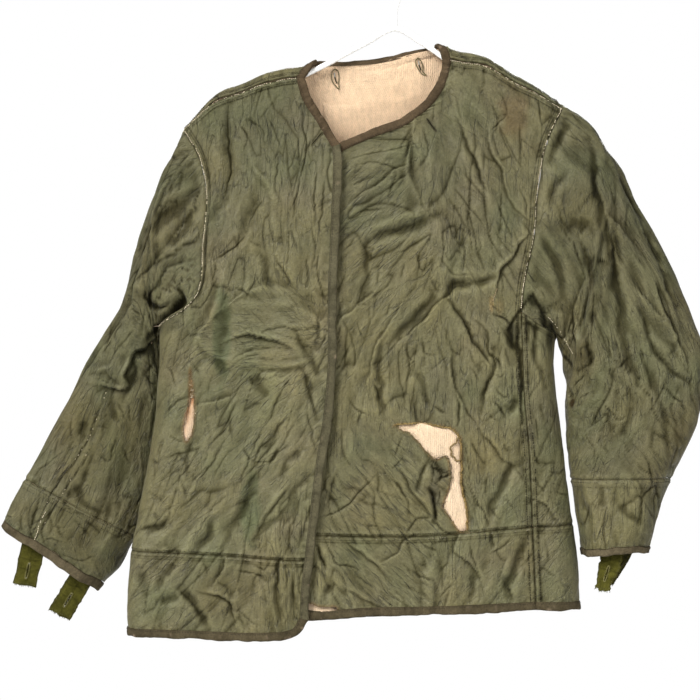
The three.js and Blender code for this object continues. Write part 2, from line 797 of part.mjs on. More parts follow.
// ---- Sleeves ----
// The first ring of a sleeve lies on the armhole. Each of its spots takes an angle from its share
// of the way round: 0 at the shoulder, 180 degrees under the arm, and back up behind.
function armholeRing(front, back) {
  const lengths = (spots) => {
    const sums = [0];
    for (let i = 1; i < spots.length; i++) {
      sums.push(sums[i - 1] + spots[i].point.distanceTo(spots[i - 1].point));
    }
    return sums;
  };
  const angled = (spots, turn) => {
    const sums = lengths(spots);
    const whole = sums[sums.length - 1];
    return spots.map((spot, i) => ({ ...spot, angle: turn * Math.acos(1 - (2 * sums[i]) / whole) }));
  };
  const under = joinedSpots(front, [...back].reverse())[front.length - 1];
  const top = joinedSpots(back.slice().reverse(), front)[back.length - 1];
  const whole = (spots) => [top, ...spots.slice(1, -1), under];
  return [...angled(whole(front), 1), ...angled(whole(back), -1).slice(1, -1).reverse()];
}

const SQUARENESS = 2.3; // 2 is an ellipse
const rounded = (value) => Math.sign(value) * Math.abs(value) ** (2 / SQUARENESS);

// A spot at an angle round one of a sleeve's rings.
function ringSpot(row, angle) {
  const reach = (rounded(Math.cos(angle)) + 1) / 2;
  return {
    along: row.along,
    x: lerp(row.ix, row.ox, reach),
    y: lerp(row.iy, row.oy, reach) - row.half * rounded(Math.sin(angle)),
    z: lerp(row.iz, row.oz, reach),
  };
}

// Spots of a sleeve at distances down it. `crown` raises its head, and `handed` is 1 for the one
// on the viewer's right and -1 for the other, whose angles run the other way seen from outside.
function sleeveGrid({ rings, armhole, crown, handed }, distances) {
  const count = armhole.length;
  const pointAt = (j, along) => {
    const { point, angle } = armhole[(j + count) % count];
    const start = { along: 0, x: point.x, y: point.y, z: point.z };
    const rows = [start, ...rings.map((row) => ringSpot(row, angle))];
    const at = (axis) => columnAt(rows, "along", axis, along);
    const spot = new THREE.Vector3(at("x"), at("y"), at("z"));
    const rise = Math.sin(Math.PI * clamp(along / rings[0].along, 0, 1));
    spot.z += crown * rise * Math.max(0, Math.cos(angle)) ** 2;
    return spot;
  };
  return distances.map((along) =>
    armhole.map((spot, j) => {
      const point = pointAt(j, along);
      if (along < 1) return { point, normal: spot.normal, inner: SHELL };
      const roundIt = pointAt(j + 1, along).sub(pointAt(j - 1, along));
      const downIt = pointAt(j, along + 3).sub(pointAt(j, along - 3));
      return { point, normal: roundIt.cross(downIt).multiplyScalar(handed).normalize() };
    }),
  );
}

// ---- The parts ----
const liner = new THREE.Group();
const add = (name, geometry, look) => liner.add(solidMesh(name, geometry, look));

const LAYERS = {
  shell: [0, SHELL],
  lining: [SHELL + SEAM_GAP, SHELL + SEAM_GAP + LINING],
};

function addPanel(name, look, grid, tears = []) {
  let geometry = wallGeometry(grid, ...LAYERS[look]);
  for (const outline of tears) geometry = cutOut(geometry, outline);
  add(name, geometry, look);
}

// The back's two blocks side by side: the strip under the arm stops at the armhole.
function backGrid(strip, stripRows, main, rows) {
  const left = panelGrid({ ...strip, seamed: [1, 0] }, COLUMNS.strip, stripRows, bodyPoint);
  const right = panelGrid({ ...main, seamed: [0, 1] }, COLUMNS.back, rows, bodyPoint);
  const none = Array(COLUMNS.strip).fill(null);
  return right.map((row, i) => [...(left[i]?.slice(0, COLUMNS.strip) ?? none), ...row]);
}

const grids = {
  rightFront: panelGrid(pieces.rightFront, COLUMNS.front, FRONT_ROWS, rightFrontPoint),
  leftFront: panelGrid(pieces.leftFront, COLUMNS.front, FRONT_ROWS, bodyPoint),
  back: backGrid(pieces.backUnderArm, between(0, 1, ROWS.belowArm), pieces.back, BACK_ROWS),
  rightFrontBand: panelGrid(pieces.rightFrontBand, COLUMNS.front, BAND_ROWS, rightFrontPoint),
  leftFrontBand: panelGrid(pieces.leftFrontBand, COLUMNS.front, BAND_ROWS, bodyPoint),
  backBand: panelGrid(pieces.backBand, COLUMNS.all, BAND_ROWS, bodyPoint),
};
addPanel("right_front", "shell", grids.rightFront, [SLIT]);
addPanel("left_front", "shell", grids.leftFront, [TEAR]);
addPanel("back", "shell", grids.back);
addPanel("right_front_band", "shell", grids.rightFrontBand);
addPanel("left_front_band", "shell", grids.leftFrontBand);
addPanel("back_band", "shell", grids.backBand);

// Each lining is cut in one from hem to shoulder, behind both pieces of the shell, and stops a
// little short of the seams at its sides.
const LINING_SHORT = 2;
function behind(band, upper) {
  return [...band, ...upper.slice(1)].map((row) => {
    const spots = [...row];
    const first = row.findIndex((spot) => spot);
    const last = row.length - 1;
    for (const [from, to] of [[first, first + 1], [last, last - 1]]) {
      const edge = row[from].point;
      const share = LINING_SHORT / edge.distanceTo(row[to].point);
      spots[from] = { ...row[from], point: edge.clone().lerp(row[to].point, share) };
    }
    return spots;
  });
}
addPanel("right_front_lining", "lining", behind(grids.rightFrontBand, grids.rightFront), [UNDER_ARM]);
addPanel("left_front_lining", "lining", behind(grids.leftFrontBand, grids.leftFront));
addPanel("back_lining", "lining", behind(grids.backBand, grids.back));

// Sleeves, their ends and their cuffs' tape.
const column = (grid, j, from = 0) => grid.slice(from).map((row) => row[j]);
const armholes = {
  right: armholeRing(
    column(grids.rightFront, 0, ROWS.belowArm).reverse(),
    column(grids.back, COLUMNS.all, ROWS.belowArm).reverse(),
  ),
  left: armholeRing(
    joinedSpots(
      column(grids.leftFront, COLUMNS.front, ROWS.belowArm).reverse(),
      grids.back[ROWS.belowArm].slice(0, COLUMNS.strip + 1),
    ),
    column(grids.back, COLUMNS.strip, ROWS.belowArm).reverse(),
  ),
};

for (const [side, rings, handed] of [
  ["right", RIGHT_SLEEVE, -1],
  ["left", LEFT_SLEEVE, 1],
]) {
  const gap = SEAM_GAP / 2;
  const end = SLEEVE_END[side];
  const cuff = CUFF_SEAM[side];
  const last = rings[rings.length - 1].along;
  const upper = [SEAM_GAP, 25, ...between(55, end - gap, 8)];
  const lower = between(end + gap, cuff - gap, 4);
  const sleeve = { rings, armhole: armholes[side], crown: SLEEVE_CROWN[side], handed };
  const grid = (distances) => sleeveGrid(sleeve, distances);
  add(`${side}_sleeve`, wallGeometry(grid(upper), 0, SLEEVE_WALL, true), "shell");
  add(`${side}_sleeve_end`, wallGeometry(grid(lower), 0, SLEEVE_WALL, true), "shell");
  const tape = grid([cuff + 3 * gap, last]);
  const inside = SLEEVE_WALL + BINDING.proud;
  add(`${side}_cuff_binding`, wallGeometry(tape, -BINDING.proud, inside, true), "binding");
}

// The tape runs in one round the neck, down the fronts' edges and round the hem, so each run
// has the cloth on its left.
const neckRow = ROWS.belowNeck;
const neckStart = COLUMNS.strip + COLUMNS.front;
const runs = {
  neck: edgeRun(
    joinedSpots(
      column(grids.rightFront, COLUMNS.front, neckRow),
      grids.back[ROWS.upper].slice(neckStart, neckStart + COLUMNS.neckline + 1).reverse(),
      column(grids.leftFront, 0, neckRow).reverse(),
    ),
  ),
  left: edgeRun(
    joinedSpots(
      column(grids.leftFront.slice(0, neckRow + 1), 0).reverse(),
      column(grids.leftFrontBand, 0).reverse(),
    ),
  ),
  hem: edgeRun(
    joinedSpots(grids.leftFrontBand[0], grids.backBand[0], grids.rightFrontBand[0]),
  ),
  right: edgeRun(
    joinedSpots(
      column(grids.rightFrontBand, COLUMNS.front),
      column(grids.rightFront.slice(0, neckRow + 1), COLUMNS.front),
    ),
  ),
};
mitre(runs.neck, runs.left);
mitre(runs.left, runs.hem);
mitre(runs.hem, runs.right);
mitre(runs.right, runs.neck);
add("neck_binding", bindingGeometry(runs.neck), "binding");
add("left_front_binding", bindingGeometry(runs.left), "binding");
add("hem_binding", bindingGeometry(runs.hem), "binding");
add("right_front_binding", bindingGeometry(runs.right), "binding");

// Tabs, each a flat strip with its buttonhole slit.
for (const { name, x, y, z, lean, turn, length } of TABS) {
  const { width, thickness, inside, slot, slotWidth } = TAB;
  const whole = new THREE.BoxGeometry(width, thickness, length + inside);
  whole.translate(0, 0, (inside - length) / 2);
  const slit = new THREE.BoxGeometry(slotWidth, 3 * thickness, slot);
  slit.translate(0, 0, -length / 2);
  const tab = fromSolid(toSolid(whole).subtract(toSolid(slit)));
  tab.rotateZ(THREE.MathUtils.degToRad(turn));
  tab.rotateY(THREE.MathUtils.degToRad(lean));
  tab.translate(x, y, z);
  add(name, tab, "tab");
}

// ---- The hanger ----
function tubeGeometry(spots, sides = 8) {
  const curve = new THREE.CatmullRomCurve3(spots.map(({ x, z }) => new THREE.Vector3(x, 0, z)));
  const count = spots.length * 2;
  const positions = [];
  const index = [];
  for (let i = 0; i <= count; i++) {
    const centre = curve.getPoint(i / count);
    const along = curve.getTangent(i / count);
    for (let j = 0; j < sides; j++) {
      const angle = (2 * Math.PI * j) / sides;
      const out = TUBE * Math.cos(angle);
      positions.push(centre.x - along.z * out, TUBE * Math.sin(angle), centre.z + along.x * out);
    }
  }
  for (let i = 0; i < count; i++) {
    for (let j = 0; j < sides; j++) {
      const a = i * sides + j;
      const b = i * sides + ((j + 1) % sides);
      index.push(a, b, b + sides, a, b + sides, a + sides);
    }
  }
  for (let j = 1; j < sides - 1; j++) {
    const last = count * sides;
    index.push(0, j + 1, j, last, last + j, last + j + 1);
  }
  const geometry = new THREE.BufferGeometry();
  geometry.setAttribute("position", new THREE.Float32BufferAttribute(positions, 3));
  geometry.setIndex(index);
  return facingOut(geometry);
}

const bend = between(-40, 205, 12).map((degrees) => {
  const angle = THREE.MathUtils.degToRad(degrees);
  const radius = HOOK_INSIDE + TUBE;
  return { x: radius * Math.cos(angle), z: radius * Math.sin(angle) - HOOK_INSIDE };
});
add("hanger_arms", tubeGeometry(ARMS), "hanger");
add("hanger_hook", tubeGeometry([...STEM, ...bend]), "hanger");

export default liner;
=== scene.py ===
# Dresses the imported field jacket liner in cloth. Tables and working sizes are in millimetres; the
# meshes are made in metres. X runs to the viewer's right, Y from front to back and Z up, from
# where the hook hangs. The body is drawn on a chart (g, h): g runs round it and h up it.
import math

import bmesh
import bpy
import numpy as np
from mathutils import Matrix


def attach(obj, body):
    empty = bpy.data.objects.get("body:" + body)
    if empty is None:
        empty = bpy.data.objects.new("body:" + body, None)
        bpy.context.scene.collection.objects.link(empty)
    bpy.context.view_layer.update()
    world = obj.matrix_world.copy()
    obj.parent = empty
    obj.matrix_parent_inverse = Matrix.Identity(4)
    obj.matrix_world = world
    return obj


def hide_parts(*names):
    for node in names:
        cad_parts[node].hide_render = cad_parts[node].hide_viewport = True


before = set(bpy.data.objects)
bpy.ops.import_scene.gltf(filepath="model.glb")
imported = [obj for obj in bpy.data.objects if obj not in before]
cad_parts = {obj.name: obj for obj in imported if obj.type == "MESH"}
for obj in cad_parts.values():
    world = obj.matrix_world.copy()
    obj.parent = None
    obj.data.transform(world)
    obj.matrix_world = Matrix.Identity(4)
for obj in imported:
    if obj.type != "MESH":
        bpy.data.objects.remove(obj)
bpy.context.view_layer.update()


# ---- How the tables are written ----
# Columns of numbers, named in the first line.
def table(text):
    names, *rows = text.strip().splitlines()
    return dict(zip(names.split(), np.array([row.split() for row in rows], float).T))


# Pairs of numbers, mostly spots x,z as seen from the front.
def xz(text):
    return [tuple(map(float, pair.split(","))) for pair in text.split()]


# A fold on each line: its kind, its depth, its width and the spots it runs through.
def folds(text):
    rows = [row.split(maxsplit=3) for row in text.strip().splitlines()]
    return [(kind, float(depth), float(width), *xz(run)) for kind, depth, width, run in rows]


# ---- Sizes ----
SIDE_ROLL = 32
SHOULDER_ROLL = 20
SHOULDER_DEPTH = 15
SHOULDER_FALL = 200
SHOULDER_TURN = (SHOULDER_ROLL + SHOULDER_DEPTH) / 2
SEAM_BEHIND = 25
OVERLAP_LIFT = 8
SEAM_GAP = 0.3
SQUARENESS = 2.3
TUBE = 3.5
HOOK_INSIDE = 20
VIEW_DISTANCE = 4000  # the camera stands this far in front of the hanger
VIEW_WIDTH = 910  # and sees this much of the hanger's plane
VIEW_CENTRE = np.array([-53.3, 0, -504.4])
LINING_BEHIND = 2.2
SNAP = 1.3  # cloth this near a tear's outline is drawn to it
RIM = 2.2  # how far from it the cloth is frayed
TAPE_WIDTH = 9.4

SECTIONS = table("""
    z left right depth bulge
    -900 -342 247 27 15
    -790 -341 244 28 16
    -690 -323 231 28 16
    -600 -308 220 28 15
    -548 -303 214 28 14
    -520 -300 212 28 13
    -475 -301 216 28 11
    -440 -306 224 28 10
    -380 -320 242 28 8
    -300 -335 264 28 6
    -150 -350 300 28 6
""")
# The top of the shoulders, and how far below it each shoulder seam runs.
RIDGE = xz("""
    -290,-248 -270,-220 -252,-198 -229,-174 -196,-159 -166,-146 -138,-139 -117,-136 -108,-133 -99,-127
    -75,-108 -10,-86 45,-99 60,-106 75,-112 92,-117 124,-124 137,-132 159,-146 185,-159 220,-183
    246,-199
""")
SHOULDER_SEAMS = {
    "right": xz("-270,1 -218,10 -170,13 -121,14"),
    "left": xz("76,15 140,11 185,10 222,7"),
}
RIGHT_ARMHOLE = {
    "front": xz("-250,-252 -239,-302 -244,-370 -250,-430 -270,-454"),
    "back": xz("-250,-252 -240,-302 -242,-370 -248,-425 -264,-458"),
    "low": -485,
}
LEFT_ARMHOLE = {
    "front": xz("203,-233 190,-296 184,-360 172,-418 168,-455"),
    "under": (200, -476),
    "back": xz("204,-233 192,-296 188,-360 190,-420 200,-455"),
    "low": -484,
}
RIGHT_NECK = xz("-75,-242 -95,-208 -112,-181 -119,-160")
RIGHT_EDGE = xz("""
    -110,-775 -95,-650 -86,-592 -80,-520 -80,-441 -75,-320 -73,-262 -75,-242
""")
RIGHT_LOWER_EDGE = xz("-116,-849 -114,-810 -110,-775")
RIGHT_HEM = xz("-261,-868 -200,-870 -143,-869 -126,-864 -116,-849")
RIGHT_BAND = xz("-261,-767 -204,-770 -150,-774 -110,-775")
LEFT_NECK = xz("-84,-264 -61,-245 -10,-223 12,-215 35,-200 53,-184 65,-167 72,-148")
LEFT_EDGE = xz("-118,-742 -108,-640 -98,-530 -94,-441 -90,-330 -84,-264")
LEFT_LOWER_EDGE = xz("-126,-824 -123,-790 -118,-742")
LEFT_HEM = xz("-126,-824 -119,-836 -104,-841 -40,-838 62,-836 186,-831")
LEFT_BAND = xz("-118,-742 -25,-745 60,-743 120,-738 182,-733")
LEFT_SIDE_SEAM = xz("186,-831 182,-733 178,-640 171,-560 168,-455")
BACK_NECK = xz("62,-117 40,-121 -10,-133 -60,-137 -100,-137")
SIDE_HEM = {"left": -865, "middle": -847, "right": -832}
SIDE_BAND = {"left": -763, "middle": -745, "right": -730}
# Rings down each arm: their outermost and innermost spots, and half their depth.
SLEEVES = {
    "right": {"handed": -1, "crown": 0, "end": 437, "cuff": 515, "rings": table("""
        along ox oy oz ix iy iz half
        55 -299 2 -278 -303 26 -512 33
        150 -335 8 -377 -296 36 -552 31
        225 -354 14 -450 -292 44 -602 29
        290 -392 22 -511 -298 46 -650 27
        370 -439 30 -601 -312 46 -704 26
        437 -479 32 -673 -334 44 -750 25
        480 -500 32 -710 -353 42 -788 24
        515 -505 32 -727 -377 40 -810 22
        526 -509 32 -737 -386 40 -821 22
    """)},
    "left": {"handed": 1, "crown": 13, "end": 405, "cuff": 492, "rings": table("""
        along ox oy oz ix iy iz half
        55 281 0 -244 220 6 -508 34
        140 325 0 -322 227 2 -541 35
        182 365 0 -394 228 0 -558 35
        225 389 0 -455 228 0 -577 35
        290 411 0 -530 228 0 -606 35
        345 400 0 -592 228 0 -636 37
        405 363 0 -671 234 0 -672 41
        460 344 0 -728 242 0 -731 45
        492 334 0 -757 248 0 -762 47
        503 331 0 -766 250 0 -772 47
    """)},
}
# Outlines of the slit, of the long tear and of the hem's parted corner.
SLIT = xz("-259,-545 -261,-567 -267,-590 -270,-612 -266,-624 -258,-608 -256,-580")
TEAR = xz("""
    3,-602 16,-601 36,-600 51,-602 68,-605 80,-608 87,-615 90,-620 91,-638 91,-657 91,-675 92,-690
    97,-705 99,-720 99,-736 92,-740 86,-736 77,-722 68,-709 73,-694 78,-679 78,-666 76,-651 73,-643
    65,-644 58,-646 49,-638 42,-631 30,-618 21,-610 10,-606
""")
CUT = xz("-110,-832 -103,-834.5 -96,-837.5 -88,-839 -70,-839.5 -70,-843 -88,-846 -110,-849")
TAB = {"width": 31, "thickness": 2, "inside": 12, "slot": 19}
# Each tab: where it leaves the cuff, its lean, its turn, its length, how much it narrows, its
# tone (the back tab's much darker as painted shade) and how ragged it is.
TABS = [
    ("right_cuff_tab_outer", (-471, 31, -774), 13, 0, 40, 0, 1.0, 1.0),
    ("right_cuff_tab_inner", (-411, 38, -812), 31, 0, 47, 0, 0.9, 1.2),
    ("left_cuff_tab_front", (284, -30, -771), 9, -25, 45, 0.34, 1.0, 2.2),
    ("left_cuff_tab_back", (307, 14, -771), 24, 60, 44, 0.3, 0.42, 1.8),
]
ARMS = xz("""
    -202,-183 -160,-163 -117,-149 -100,-141 -86,-134 -30,-104 5,-87 40,-105 58,-117 72,-127 92,-137
    124,-147 165,-168 203,-194
""")
STEM = xz("5,-83 5,-66 9,-50")

# The way the small creases run on the front, in degrees from level, anticlockwise.
GRAIN = table("""
    x z angle
    -110 -250 88
    -100 -380 85
    -200 -250 80
    -230 -380 70
    -150 -470 160
    -150 -600 55
    -240 -620 65
    -110 -640 60
    -110 -780 88
    -240 -770 60
    -20 -240 12
    -20 -330 28
    60 -280 100
    110 -250 113
    170 -300 105
    40 -420 50
    -20 -480 60
    20 -560 78
    100 -430 120
    130 -520 100
    150 -600 62
    60 -680 130
    0 -640 128
    -40 -720 140
    0 -790 140
    100 -780 65
    200 -600 90
    210 -700 62
""")
